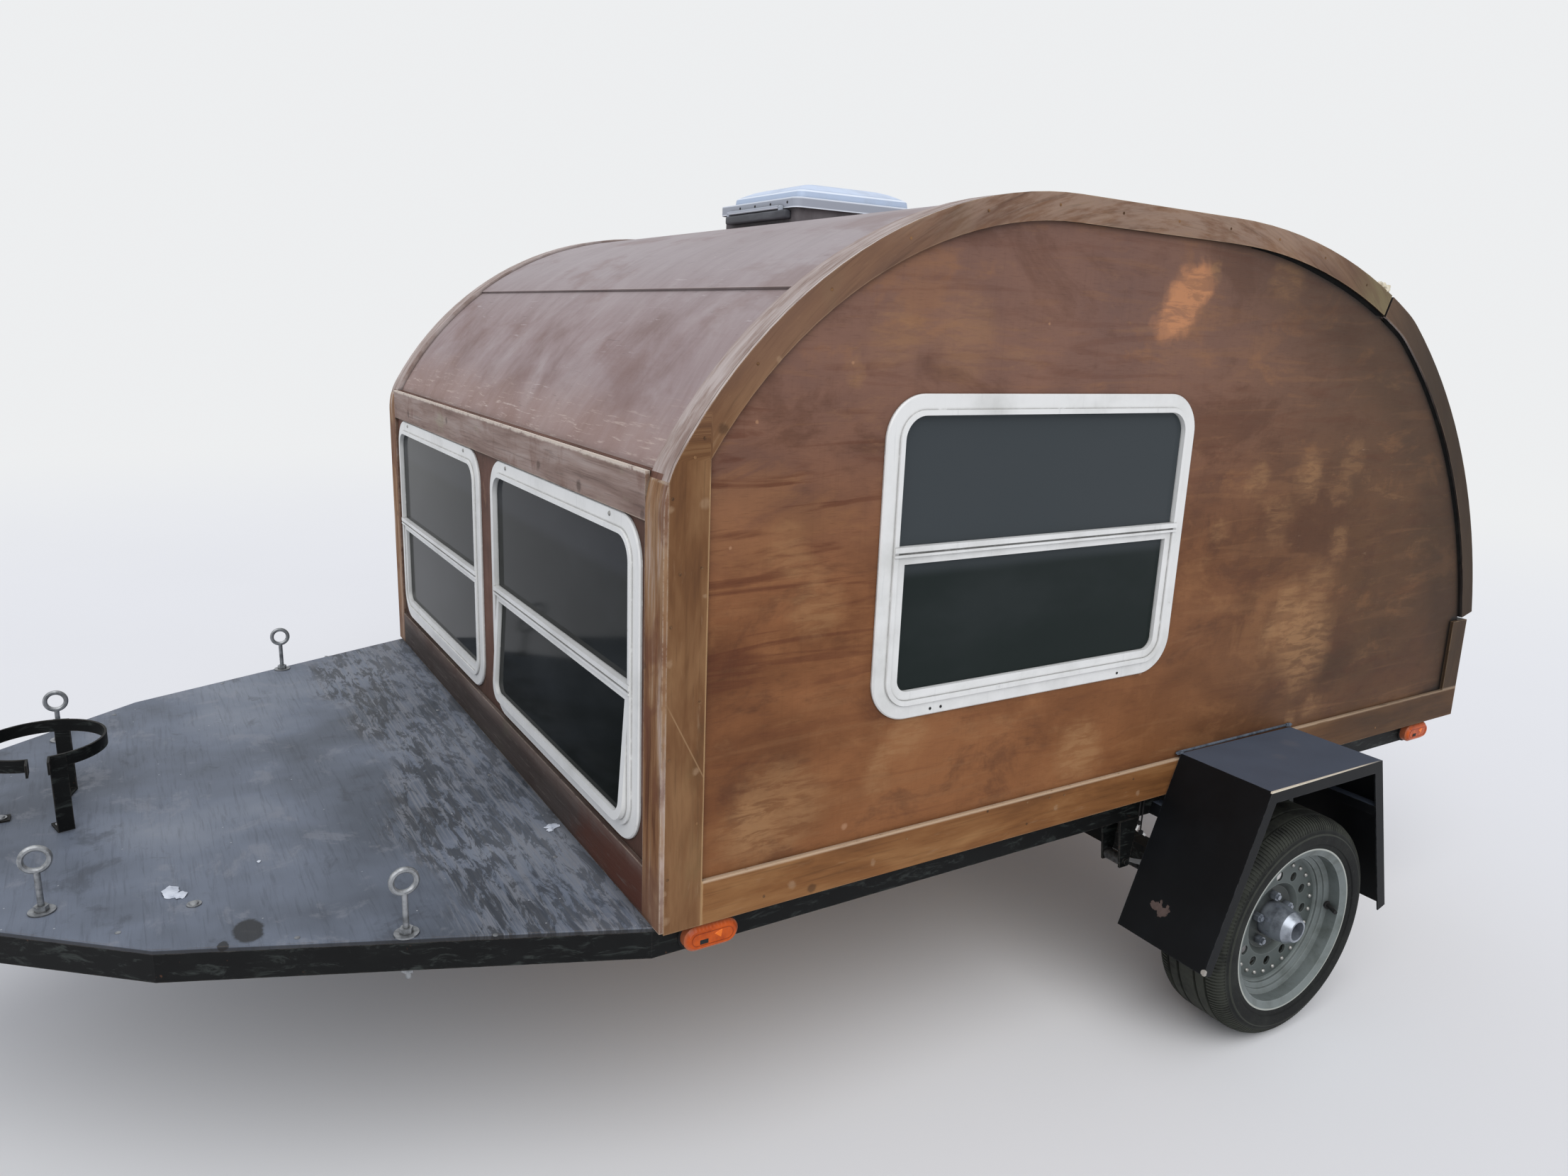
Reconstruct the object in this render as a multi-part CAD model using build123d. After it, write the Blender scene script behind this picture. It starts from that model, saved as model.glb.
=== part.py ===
from build123d import *
from math import asin, cos, radians, sin, sqrt
import os

# Teardrop camping trailer, home built: a bent plywood cabin on a welded square tube frame.
# Lengths are in mm. The model is drawn with x = 0 at the front boards' face, +X towards the tow ball,
# +Y to the trailer's left and z = 0 at the cabin's bottom edge. save() moves every piece to the
# trailer's own frame, whose origin is on the ground under the middle of the whole trailer.

os.makedirs("parts", exist_ok=True)

# Cabin
half_width = 951.0
side_thickness = 19.0
trim_thickness = 8.0
wall_thickness = 19.0
roof_thickness = 25.0
floor_thickness = 18.0
post_width = 78.0
rail_board_height = 81.0
rear_post_width = 67.0
band_width = 48.0
corner_board_width = 69.0
header_top = 764.0
header_height = 78.0
sill_board_height = 92.0
front_skin_depth = 12.0
top_skin_depth = 7.0
skin_lap = 40.0

# Side outline from the top of the front edge over the roof to the hatch's lower edge.
# Columns: radius (0 for a straight), turn in degrees or length of the straight
outline_start = 702.0
outline_runs = (
    (177.0, 30.0),
    (887.0, 60.75),
    (0.0, 430.0),
    (1520.0, 25.5),
    (308.0, 10.0),
    (1364.0, 38.7),
)
seam_station = 490.0
hinge_station = 2054.0
rear_bottom_x = -2438.0
rear_post_step = 18.0

# Hatch and its strap hinge
hatch_gap = 8.0
hinge_leaf = 35.0
hinge_leaf_thickness = 3.0
hinge_rise = 2.0
knuckle_radius = 6.5
pin_radius = 3.0
pin_clearance = 0.05
hatch_knuckles = 7
knuckle_gap = 1.0

# Windows
window_radius = 78.0
flange_width = 36.0
flange_thickness = 6.0
bead_width = 9.0
bead_height = 5.0
sleeve_inset = 22.0
sleeve_wall = 4.0
bar_height = 18.0
bar_proud = 13.0
bar_overlap = 9.0
hinge_rib = 4.5
bar_groove = 4.0
sash_width = 17.0
sash_top_rail = 14.0
sash_proud = 7.0
sash_depth = 6.0
sash_ajar = 3.8
pane_thickness = 4.0
fit_gap = 0.5
side_window_size = (780.0, 584.0)
side_window_centre = (-799.0, 594.0)
side_window_bar_drop = 262.0
front_window_height = 578.0
front_window_middle_z = 395.0
front_window_from_middle = 44.0
front_window_from_post = 24.0
front_window_bar_drop = 284.0

# Door on the right side, round its own window
door_side_margin = 57.0
door_top_margin = 110.0
door_bottom = 116.0
door_radius = 60.0
door_gap = 6.0
casing_width = 30.0
door_hinge_length = 90.0
door_hinge_from_ends = (144.0, 146.0)
door_leaf_width = 32.0
door_knuckle_room = 7.5
latch_from_edge = 45.0
latch_from_bottom = 114.0

# Roof vent. Columns of vent_steps: inset from the skirt, rise
vent_centre_x = -868.0
vent_lid_size = 372.0
vent_base_size = 352.0
vent_base_wall = 14.0
vent_base_top = 1268.0
vent_curb_depth = 118.0
vent_lid_gap = 5.5
vent_skirt = 20.0
vent_wall = 3.0
vent_steps = ((0.0, 24.0), (30.0, 14.0), (58.0, 10.0))
vent_hinge_knuckle = 5.0
vent_hinge_length = 240.0
vent_arm_width = 10.0
vent_arm_drop = 13.0
vent_arm_thickness = 7.0
vent_arm_half = 3.5

# Frame
body_bottom = 556.0
frame_drop = 5.0
tube = 50.0
tube_wall = 3.0
frame_rear_x = -2356.0
cross_positions = (-640.0, -1130.0, -1770.0)
drawbar_height = 75.0
drawbar_ahead_of_arms = 296.0
deck_thickness = 9.0
deck_bend_x = 715.0
deck_bend_step = 301.0
deck_front_x = 1250.0
arm_slope = 0.82

# Running gear
wheel_x = -1475.0
tyre_radius = 265.0
tyre_from_side = 41.0
tyre_width = 178.0
bead_inset = 18.0
sidewall_drop = 40.0
shoulder = 17.0
rim_flange_radius = 196.0
rim_seat_radius = 179.0
rim_wall = 4.0
rim_width = 164.0
rim_edge_gap = 7.0
disc_setback = 66.0
disc_thickness = 5.0
disc_step = 12.0
disc_well_radius = 76.0
disc_holes = 12
disc_hole_circle = 107.0
disc_hole_radius = 11.5
disc_bend = 6.0
# Inner face of the barrel in front of the disc and behind it. Columns: distance from the rim's face, radius
barrel_front = ((0.0, 192.0), (7.0, 177.0), (33.0, 175.0), (38.0, 165.0), (42.0, 164.0), (46.0, 154.0), (50.0, 153.0))
barrel_back = ((64.0, 157.0), (112.0, 157.0), (128.0, 174.0), (155.0, 175.0), (164.0, 192.0))
hub_radius = 42.0
hub_flange_radius = 69.0
hub_flange = 12.0
hub_back_radius = 52.0
hub_straight = 33.0
hub_nose = 73.0
hub_mouth_radius = 22.0
hub_mouth_wall = 5.0
hub_mouth_depth = 43.0
# A ring of the hub's tapered nose. Columns: distance out from the disc, radius
hub_swell = (56.0, 38.0)
lug_circle_radius = 57.15
lug_count = 5
stud_radius = 6.0
nut_radius = 11.0
nut_height = 15.0
axle_tube = 50.0
spindle_radius = 15.0
running_clearance = 0.05
spring_span = 620.0
spring_width = 44.0
leaf_thickness = 7.0
leaf_count = 4
leaf_step = 75.0
spring_camber = 80.0
eye_radius = 14.0
spring_pin_radius = 7.0
hanger_plate = 5.0
hanger_top_half = 30.0
seat_thickness = 4.0
clamp_rod_radius = 5.0
clamp_plate = 8.0
fender_width = 230.0
fender_sheet = 3.0
fender_lip = 28.0
fender_arm = 25.0
fender_arm_z = -40.0
# Fold line of the fender. Columns: x, z
fender_folds = ((-1137.0, -293.0), (-1280.0, 92.0), (-1680.0, 88.0), (-1806.0, -306.0))

# Coupler and jack
ball_ahead = 60.0
coupler_head_wall = 20.0
coupler_back_reach = 130.0
coupler_depth = 45.0
ball_socket_radius = 25.5
coupler_wall = 6.0
jack_from_drawbar_end = 230.0
jack_tube_radius = 28.0
jack_inner_radius = 22.0
jack_travel = 250.0
jack_top = 420.0
jack_collar = 18.0
jack_clearance = 8.0
jack_cap = 30.0
jack_foot_radius = 75.0
jack_foot_thickness = 6.0
jack_crank = 150.0
jack_plate = 60.0
jack_clasp = 40.0
jack_clasp_inset = 10.0
crank_neck = 22.0
crank_lift = 10.0
crank_rod = 7.0
crank_grip = 84.0
latch_length = 55.0
latch_half = 7.0
latch_height = 15.0
latch_knob = 12.0

# Fittings. Columns of eye_spots: x, distance in from the deck's edge, height of tube under the deck
eye_spots = ((360.0, 15.5, 50.0), (866.0, 82.0, 0.0))
eye_height = 119.0
eye_wire = 5.0
eye_loop_radius = 20.0
eye_washer_radius = 20.0
washer_thickness = 2.5
eye_nut = 9.0
ring_x = 870.0
ring_radius = 105.0
ring_band = 25.0
ring_strap = 4.0
ring_top = 158.0
ring_leg_angles = (0.0, 106.0, 254.0)
ring_leg_width = 28.0
ring_foot = 42.0
ring_slit = 15.0
ring_ear = 34.0
ring_ear_hole = 4.5
marker_length = 104.0
marker_height = 46.0
marker_proud = 24.0
lamp_bevel = 7.0
marker_spots = (-103.0, -2285.0)
tail_lamp_from_side = 191.0
tail_lamp_length = 150.0
tail_lamp_proud = 30.0
lamp_inset = 2.0
handle_width = 110.0
handle_from_edge = 130.0
handle_height = 36.0
handle_rod = 6.0

# Bulkhead behind the cabin and the galley's counter and shelf under the hatch
bulkhead_thickness = 18.0
bulkhead_from_hinge = 4.0
counter_top = 262.0
shelf_top = 640.0
shelf_depth = 300.0
shelf_thickness = 18.0

# Lengths of cutting bodies: through a wall, and past the whole trailer
cut_depth = 60.0
far = 6000.0

# Sizes that follow from the ones above
panel_y = half_width - trim_thickness
inner_y = panel_y - side_thickness
front_face = -trim_thickness
frame_top = -frame_drop
frame_bottom = frame_top - tube
floor_top = frame_top + floor_thickness
deck_top = frame_top + deck_thickness
axle_z = tyre_radius - body_bottom
groove_depth = band_width + hatch_gap
corner_inner = half_width - corner_board_width
spring_y = inner_y - tube / 2
tyre_outer_y = half_width + tyre_from_side + tyre_width
fender_outer_y = half_width + fender_width
tail_lamp_y = half_width - tail_lamp_from_side
deck_bend_y = inner_y - deck_bend_step
arms_meet = deck_bend_x + (deck_bend_y - tube / 2) / arm_slope
drawbar_length = arms_meet + drawbar_ahead_of_arms
door_width = side_window_size[0] + 2 * door_side_margin
door_front = side_window_centre[0] + door_width / 2
door_height = side_window_centre[1] + side_window_size[1] / 2 + door_top_margin - door_bottom
front_window_width = half_width - corner_board_width - front_window_from_middle - front_window_from_post
front_window_size = (front_window_width, front_window_height)
front_window_y = front_window_from_middle + front_window_width / 2
ball_x = drawbar_length + ball_ahead
jack_x = drawbar_length - jack_from_drawbar_end
roof_depth = front_skin_depth + roof_thickness
rim_face_y = tyre_outer_y - rim_edge_gap
disc_y = rim_face_y - disc_setback
coupler_head_radius = ball_socket_radius + coupler_head_wall
coupler_nose = ball_x + coupler_head_radius
ground = -body_bottom
jack_bottom = ground + jack_foot_thickness + jack_collar + jack_travel + jack_clearance


# Outline: a station is a distance along the side outline, a depth is measured inwards from it

def outline_table():
    rows = []
    station, u, z, heading = 0.0, 0.0, outline_start, radians(90.0)
    for radius, amount in outline_runs:
        length = amount if radius == 0 else radius * radians(amount)
        rows.append((station, station + length, radius, u, z, heading))
        if radius == 0:
            u += length * cos(heading)
            z += length * sin(heading)
        else:
            end = heading - length / radius
            u += radius * (sin(heading) - sin(end))
            z += radius * (cos(end) - cos(heading))
            heading = end
        station += length
    return rows


OUTLINE = outline_table()
outline_end = OUTLINE[-1][1]


def point_on(run, station, depth):
    start, _, radius, u, z, heading = run
    step = station - start
    now = heading
    if radius == 0:
        u += step * cos(heading)
        z += step * sin(heading)
    else:
        now = heading - step / radius
        u += radius * (sin(heading) - sin(now))
        z += radius * (cos(now) - cos(heading))
    return Vector(-(u + depth * sin(now)), 0, z - depth * cos(now)), now


def run_at(station):
    return next((run for run in OUTLINE if station <= run[1]), OUTLINE[-1])


def outline_point(station, depth=0.0):
    return point_on(run_at(station), station, depth)[0]


def heading_at(station):
    return point_on(run_at(station), station, 0.0)[1]


def outline_edges(first, last, depth):
    edges = []
    for run in OUTLINE:
        low, high = max(first, run[0]), min(last, run[1])
        if high - low < 0.01:
            continue
        a, b = point_on(run, low, depth)[0], point_on(run, high, depth)[0]
        if run[2] == 0:
            edges.append(Line(a, b))
        else:
            edges.append(ThreePointArc(a, point_on(run, (low + high) / 2, depth)[0], b))
    return edges


def strip(first, last, outer_depth, inner_depth):
    outer = outline_edges(first, last, outer_depth)
    inner = outline_edges(first, last, inner_depth)
    ends = [Line(outer[-1] @ 1, inner[-1] @ 1), Line(inner[0] @ 0, outer[0] @ 0)]
    return make_face(outer + inner + ends)


def flat(points):
    corners = [Vector(x, 0, z) for x, z in points]
    return make_face(Polyline(*corners, close=True))


def across(face, low, high):
    return Pos(0, low, 0) * extrude(face, amount=high - low, dir=(0, 1, 0))


def plan(points, low, high):
    face = make_face(Polyline(*[Vector(x, y, low) for x, y in points], close=True))
    return extrude(face, amount=high - low, dir=(0, 0, 1))


def block(x0, x1, y0, y1, z0, z1):
    size = Box(x1 - x0, y1 - y0, z1 - z0)
    return Pos((x0 + x1) / 2, (y0 + y1) / 2, (z0 + z1) / 2) * size


def rod(start, direction, radius, length):
    return Plane(origin=start, z_dir=direction) * Cylinder(
        radius, length, align=(Align.CENTER, Align.CENTER, Align.MIN))


def hollow_bar(x0, x1, y0, y1, z0, z1, along):
    """A square tube, open at both ends along X or Y."""
    w = tube_wall
    if along == "x":
        return block(x0, x1, y0, y1, z0, z1) - block(x0 - 1, x1 + 1, y0 + w, y1 - w, z0 + w, z1 - w)
    return block(x0, x1, y0, y1, z0, z1) - block(x0 + w, x1 - w, y0 - 1, y1 + 1, z0 + w, z1 - w)


def mirrored(shape):
    return mirror(shape, about=Plane.XZ)


def solids_of(shapes):
    found = []
    for shape in shapes:
        found += list(shape.solids())
    return found


trailer_shift = -(coupler_nose + outline_point(outline_end).X) / 2


def save(name, *shapes):
    solids = [Pos(trailer_shift, 0, body_bottom) * s for s in solids_of(shapes)]
    export_step(solids[0] if len(solids) == 1 else Compound(children=solids), f"parts/{name}.step")


# Side panels

def cabin_face(depth):
    """The whole side outline at a depth, closed down to the frame's top."""
    edges = outline_edges(0, outline_end, depth)
    front, rear = edges[0] @ 0, edges[-1] @ 1
    rear_foot = Vector(rear_bottom_x + depth, 0, frame_top)
    front_foot = Vector(front.X, 0, frame_top)
    return make_face(edges + [Line(rear, rear_foot), Line(rear_foot, front_foot), Line(front_foot, front)])


post_top = outline_point(outline_end, band_width).Z - hatch_gap
post_top_x = outline_point(outline_end).X + rear_post_step


def post_x(z, inset=0.0):
    """x of the lower rear post's outer edge at height z."""
    return rear_bottom_x + (post_top_x - rear_bottom_x) * z / post_top + inset


def side_face():
    outer = outline_edges(0, hinge_station, 0)
    inner = outline_edges(hinge_station, outline_end, groove_depth)
    step = Vector((inner[-1] @ 1).X, 0, post_top)
    path = [inner[-1] @ 1, step, Vector(post_x(post_top), 0, post_top), Vector(post_x(0), 0, 0),
            Vector(0, 0, 0), outer[0] @ 0]
    lines = [Line(a, b) for a, b in zip(path, path[1:])]
    return make_face(outer + inner + lines + [Line(outer[-1] @ 1, inner[0] @ 0)])


def behind_boards(shape):
    return shape & block(-far, front_face, -far, far, -far, far)


def window_blank(size, inset, low, high):
    face = Plane.XZ * RectangleRounded(size[0] - 2 * inset, size[1] - 2 * inset, window_radius - inset)
    return Pos(0, low, 0) * extrude(face, amount=high - low, dir=(0, 1, 0))


def window_ring(size, outer, inner, low, high):
    return window_blank(size, outer, low, high) - window_blank(size, inner, low - 1, high + 1)


def bar_middle(size, bar_drop):
    return size[1] / 2 - bar_drop - bar_height / 2


def window_frame(size, bar_drop, wall):
    """Frame with +Y outwards and y = 0 on the wall: flange, bead, sleeve and the bar that carries the sash."""
    flange = window_ring(size, 0, flange_width, 0, flange_thickness)
    rim = flange.faces().sort_by(Axis.Y)[-1].outer_wire().edges()
    frame = chamfer(rim, flange_thickness * 0.4)
    frame += window_ring(size, flange_width - bead_width, flange_width, 0, flange_thickness + bead_height)
    frame += window_ring(size, sleeve_inset, sleeve_inset + sleeve_wall, -wall, 0)
    middle = bar_middle(size, bar_drop)
    half = size[0] / 2 - flange_width
    top = middle + bar_height / 2
    groove_top = top - bar_height + hinge_rib + bar_groove
    frame += block(-half - 1, half + 1, -sash_depth, flange_thickness, top - bar_height, top)
    for low, high in ((top - bar_height, top - bar_height + hinge_rib), (groove_top, top)):
        frame += block(-half - bar_overlap, half + bar_overlap, flange_thickness / 2, bar_proud, low, high)
    return frame


def sash_opening(size, bar_drop, inset, drop, low, high):
    """The part of a window below its bar, inset at the sides and foot and dropped from the bar."""
    below = bar_middle(size, bar_drop) - bar_height / 2 - drop
    return window_blank(size, inset, low, high) & block(-far, far, -far, far, -far, below)


def window_sash(size, bar_drop):
    """The lower sash, hung from the bar: a ring with a top rail."""
    outside = sash_opening(size, bar_drop, flange_width + fit_gap, fit_gap, -sash_depth, sash_proud)
    opening = sash_opening(size, bar_drop, flange_width + sash_width, sash_top_rail, -cut_depth, cut_depth)
    return outside - opening


def window_panes(size, bar_drop):
    """The fixed upper pane, behind the flange, and the pane held in the sash."""
    upper = window_blank(size, sleeve_inset + sleeve_wall + fit_gap, -pane_thickness, 0)
    upper &= block(-far, far, -far, far, bar_middle(size, bar_drop) + bar_height / 2 + fit_gap, far)
    seat = flange_width + sash_width + fit_gap
    back = -sash_depth
    lower = sash_opening(size, bar_drop, seat, sash_top_rail + fit_gap, back, back + pane_thickness)
    return upper, lower


def ajar(size, bar_drop, angle):
    """Swings a sash out about the foot of its bar."""
    hinge_z = bar_middle(size, bar_drop) - bar_height / 2
    return Pos(0, sash_proud, hinge_z) * Rot(angle, 0, 0) * Pos(0, -sash_proud, -hinge_z)


def window_hole(size):
    return window_blank(size, sleeve_inset - fit_gap, -cut_depth, cut_depth)


def door_blank(grow, low, high):
    face = Plane.XZ * RectangleRounded(door_width + 2 * grow, door_height + 2 * grow, door_radius + grow)
    centre = Pos(door_front - door_width / 2, low, door_bottom + door_height / 2)
    return centre * extrude(face, amount=high - low, dir=(0, 1, 0))


left_window = Pos(side_window_centre[0], panel_y, side_window_centre[1])
door_window = Pos(side_window_centre[0], -half_width, side_window_centre[1]) * Rot(0, 0, 180)
front_windows = [Pos(front_face, y, front_window_middle_z) * Rot(0, 0, -90)
                 for y in (front_window_y, -front_window_y)]

panel = behind_boards(across(side_face(), inner_y, panel_y))
save("side_panel_left", panel - left_window * window_hole(side_window_size))
save("side_panel_right", mirrored(panel) - door_blank(door_gap, -panel_y - cut_depth, -inner_y + cut_depth))

# Floor, front wall and the fixed panel below the hatch
rear_inner_x = max(post_x(z, wall_thickness) for z in (frame_top, floor_top))
save("floor", block(rear_inner_x, front_face - wall_thickness, -inner_y, inner_y, frame_top, floor_top))

envelope = across(cabin_face(0), -half_width, half_width)
front_wall = block(front_face - wall_thickness, front_face, -inner_y, inner_y, frame_top, header_top)
for window in front_windows:
    front_wall -= window * window_hole(front_window_size)
save("front_wall", front_wall & envelope)

rear_low = frame_top
rear_panel = flat(((post_x(rear_low), rear_low), (post_x(rear_low, wall_thickness), rear_low),
                   (post_x(post_top, wall_thickness), post_top), (post_x(post_top), post_top)))
save("rear_panel_lower", across(rear_panel, -inner_y, inner_y))

# Boards on the front wall: corner posts, header over the windows and sill board on the deck
corner_board = block(front_face, 0, corner_inner, half_width, deck_top, header_top) & envelope
header = block(front_face, 0, -corner_inner, corner_inner, header_top - header_height, header_top)
sill = block(front_face, 0, -corner_inner, corner_inner, deck_top, deck_top + sill_board_height)
save("front_boards", corner_board + mirrored(corner_board) + header + sill)


# Bulkhead behind the cabin, and the galley's counter and shelf under the hatch
room = across(cabin_face(roof_depth), -inner_y, inner_y)
bulkhead_rear = outline_point(hinge_station, roof_depth).X + bulkhead_from_hinge
bulkhead = block(bulkhead_rear, bulkhead_rear + bulkhead_thickness, -inner_y, inner_y, floor_top, far)
save("bulkhead", bulkhead & room)
counter_rear = max(post_x(z, wall_thickness) for z in (counter_top, counter_top - shelf_thickness))
counter = block(counter_rear, bulkhead_rear, -inner_y, inner_y, counter_top - shelf_thickness, counter_top)
shelf = block(bulkhead_rear - shelf_depth, bulkhead_rear, -inner_y, inner_y,
              shelf_top - shelf_thickness, shelf_top)
save("galley_shelves", counter, shelf)


# Proud boards of a side: front post, bottom rail, lower rear post and the arched band

def side_boards():
    post = block(-post_width, front_face, panel_y, half_width, 0, far) & envelope
    rail = flat(((-post_width, 0), (-post_width, rail_board_height),
                 (post_x(rail_board_height), rail_board_height), (post_x(0), 0)))
    rear = flat(((post_x(0), 0), (post_x(0, rear_post_width), 0),
                 (post_x(post_top, rear_post_width), post_top), (post_x(post_top), post_top)))
    band = behind_boards(across(strip(0, hinge_station, 0, band_width), panel_y, half_width))
    return post + across(rail, panel_y, half_width) + across(rear, panel_y, half_width) + band


boards = side_boards()
casing = door_blank(door_gap + casing_width, -half_width, -panel_y)
casing -= door_blank(door_gap, -half_width - cut_depth, -panel_y + cut_depth)
save("side_boards_left", boards)
right_boards = mirrored(boards) + casing
save("side_boards_right", right_boards)

# Roof: a rim board along each side, level with the bands, and two skins let in between them, the upper one lapped


def rim_board(first, last):
    return across(strip(first, last, 0, roof_depth), corner_inner, inner_y)


over_header = block(-far, far, -far, far, header_top, far)
roof_rim = rim_board(0, hinge_station) & over_header
save("roof_rims", roof_rim, mirrored(roof_rim))
front_skin = across(strip(0, seam_station, front_skin_depth, roof_depth), -corner_inner, corner_inner)
save("roof_front", front_skin & over_header)
top_skin = across(strip(seam_station, hinge_station, top_skin_depth, roof_depth), -corner_inner, corner_inner)
lap_strip = strip(seam_station - skin_lap, seam_station, top_skin_depth, front_skin_depth)
lap = across(lap_strip, -corner_inner, corner_inner)
vent_hole = block(vent_centre_x - vent_base_size / 2 + vent_base_wall,
                  vent_centre_x + vent_base_size / 2 - vent_base_wall,
                  -vent_base_size / 2 + vent_base_wall, vent_base_size / 2 - vent_base_wall, 0, far)
save("roof_top", top_skin + lap - vent_hole)

# Hatch: curved panel between two rim boards, each with a proud band on its side
hatch_start = hinge_station + hatch_gap
hatch = across(strip(hatch_start, outline_end, top_skin_depth, roof_depth), -corner_inner, corner_inner)
hatch_side = rim_board(hatch_start, outline_end)
hatch_side += across(strip(hatch_start, outline_end, 0, band_width), inner_y, half_width)
save("hatch", hatch + hatch_side + mirrored(hatch_side))


# Strap hinge of the hatch: fixed and moving leaves with knuckles in turn

hinge_axis_depth = top_skin_depth - hinge_leaf_thickness - hinge_rise - 4.0
hinge_axis_station = hinge_station + hatch_gap / 2
hinge_point = outline_point(hinge_axis_station, hinge_axis_depth)
hinge_half = corner_inner - 20.0


def hatch_leaf(side):
    first, last = (hinge_station - hinge_leaf, hinge_station) if side < 0 else (
        hatch_start, hatch_start + hinge_leaf)
    leaf = across(strip(first, last, top_skin_depth - hinge_leaf_thickness, top_skin_depth),
                  -hinge_half, hinge_half)
    pitch = 2 * hinge_half / hatch_knuckles
    for index in range(hatch_knuckles):
        if (index % 2 == 0) != (side < 0):
            continue
        low = -hinge_half + index * pitch + knuckle_gap / 2
        high = low + pitch - knuckle_gap
        hub = rod((hinge_point.X, low, hinge_point.Z), (0, 1, 0), knuckle_radius, high - low)
        near = hinge_station - 2 if side < 0 else hinge_axis_station
        far = hinge_axis_station if side < 0 else hatch_start + 2
        web = across(strip(near, far, hinge_axis_depth, top_skin_depth), low, high)
        leaf += hub + web
    pin = rod((hinge_point.X, -hinge_half - 1, hinge_point.Z), (0, 1, 0), pin_radius + pin_clearance,
              2 * hinge_half + 2)
    return leaf - pin


fixed_leaf = hatch_leaf(-1)
hinge_pin = rod((hinge_point.X, -hinge_half, hinge_point.Z), (0, 1, 0), pin_radius, 2 * hinge_half)
save("hatch_hinge_leaf", fixed_leaf, hinge_pin)
save("hatch_hinge_flap", hatch_leaf(1))

# Hatch handle near its lower edge: a pull on two feet
handle_station = outline_end - handle_from_edge


def pull_handle(centre, outward, lengthwise):
    """A rod pull: a round grip on two feet, seated on the surface at centre."""
    place = Plane(origin=centre, x_dir=lengthwise, z_dir=outward)
    reach = handle_height - handle_rod
    feet = [Pos(side * handle_width / 2, 0, reach / 2) * Box(2 * handle_rod, 2 * handle_rod, reach)
            for side in (-1, 1)]
    grip = Pos(0, 0, reach) * Rot(0, 90, 0) * Cylinder(handle_rod, handle_width + 4 * handle_rod)
    return place * (grip + feet)


turn = heading_at(handle_station)
hatch_out = Vector(sin(turn), 0, cos(turn))
save("hatch_handle", pull_handle(outline_point(handle_station, top_skin_depth), hatch_out, (0, 1, 0)))

# Door with its hinges and handle
door = door_blank(0, -half_width, -inner_y)
save("door", door - door_window * window_hole(side_window_size))
door_axis_x = door_front + door_gap / 2
door_axis_y = -half_width - hinge_leaf_thickness - pin_radius
hinge_heights = (door_bottom + door_hinge_from_ends[0],
                 door_bottom + door_height - door_hinge_from_ends[1])


def door_leaf(side):
    """Leaves on the casing for side 1, flaps on the door for side -1."""
    pieces = []
    third = door_hinge_length / 3
    for height in hinge_heights:
        low, high = height - door_hinge_length / 2, height + door_hinge_length / 2
        near, far = sorted((door_axis_x + side * door_knuckle_room, door_axis_x + side * door_leaf_width))
        leaf = block(near, far, -half_width - hinge_leaf_thickness, -half_width, low, high)
        spans = ((low, low + third), (high - third, high)) if side > 0 else ((low + third, high - third),)
        for a, b in spans:
            a += knuckle_gap / 2
            b -= knuckle_gap / 2
            leaf += rod((door_axis_x, door_axis_y, a), (0, 0, 1), knuckle_radius - 1.0, b - a)
            web = sorted((door_axis_x, door_axis_x + side * (door_knuckle_room + 0.5)))
            leaf += block(web[0], web[1], -half_width - hinge_leaf_thickness - 1, -half_width - 1, a, b)
        leaf -= rod((door_axis_x, door_axis_y, low - 1), (0, 0, 1), pin_radius + pin_clearance,
                    door_hinge_length + 2)
        pieces.append(leaf)
    return pieces


door_pins = [rod((door_axis_x, door_axis_y, z - door_hinge_length / 2), (0, 0, 1), pin_radius,
                 door_hinge_length) for z in hinge_heights]
save("door_hinge_leaves", *(door_leaf(1) + door_pins))
save("door_hinge_flaps", *door_leaf(-1))
latch = (door_front - door_width + latch_from_edge, -half_width, door_bottom + latch_from_bottom)
save("door_handle", pull_handle(latch, (0, -1, 0), (0, 0, 1)))

# Windows: frames with their hung sashes, and panes. The near front one stands ajar

def fit_windows(name, places, size, bar_drop, wall, angles):
    """Saves a frame node and a pane node for windows of one size."""
    frames = []
    panes = []
    for place, angle in zip(places, angles):
        upper, lower = window_panes(size, bar_drop)
        swing = ajar(size, bar_drop, angle)
        frames += [place * window_frame(size, bar_drop, wall), place * (swing * window_sash(size, bar_drop))]
        panes += [place * upper, place * (swing * lower)]
    plural = "s" if len(places) > 1 else ""
    save(f"window_frame{plural}_{name}", *frames)
    save(f"window_panes_{name}", *panes)


wall_of_door = side_thickness + trim_thickness
fit_windows("left", [left_window], side_window_size, side_window_bar_drop, side_thickness, [0])
fit_windows("door", [door_window], side_window_size, side_window_bar_drop, wall_of_door, [0])
fit_windows("front", front_windows, front_window_size, front_window_bar_drop, wall_thickness, [sash_ajar, 0])


# Roof vent: a curb that follows the roof and a stepped lid

def square(side, low, high, radius=12.0):
    face = Plane.XY * RectangleRounded(side, side, radius)
    return Pos(vent_centre_x, 0, low) * extrude(face, amount=high - low)


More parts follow.
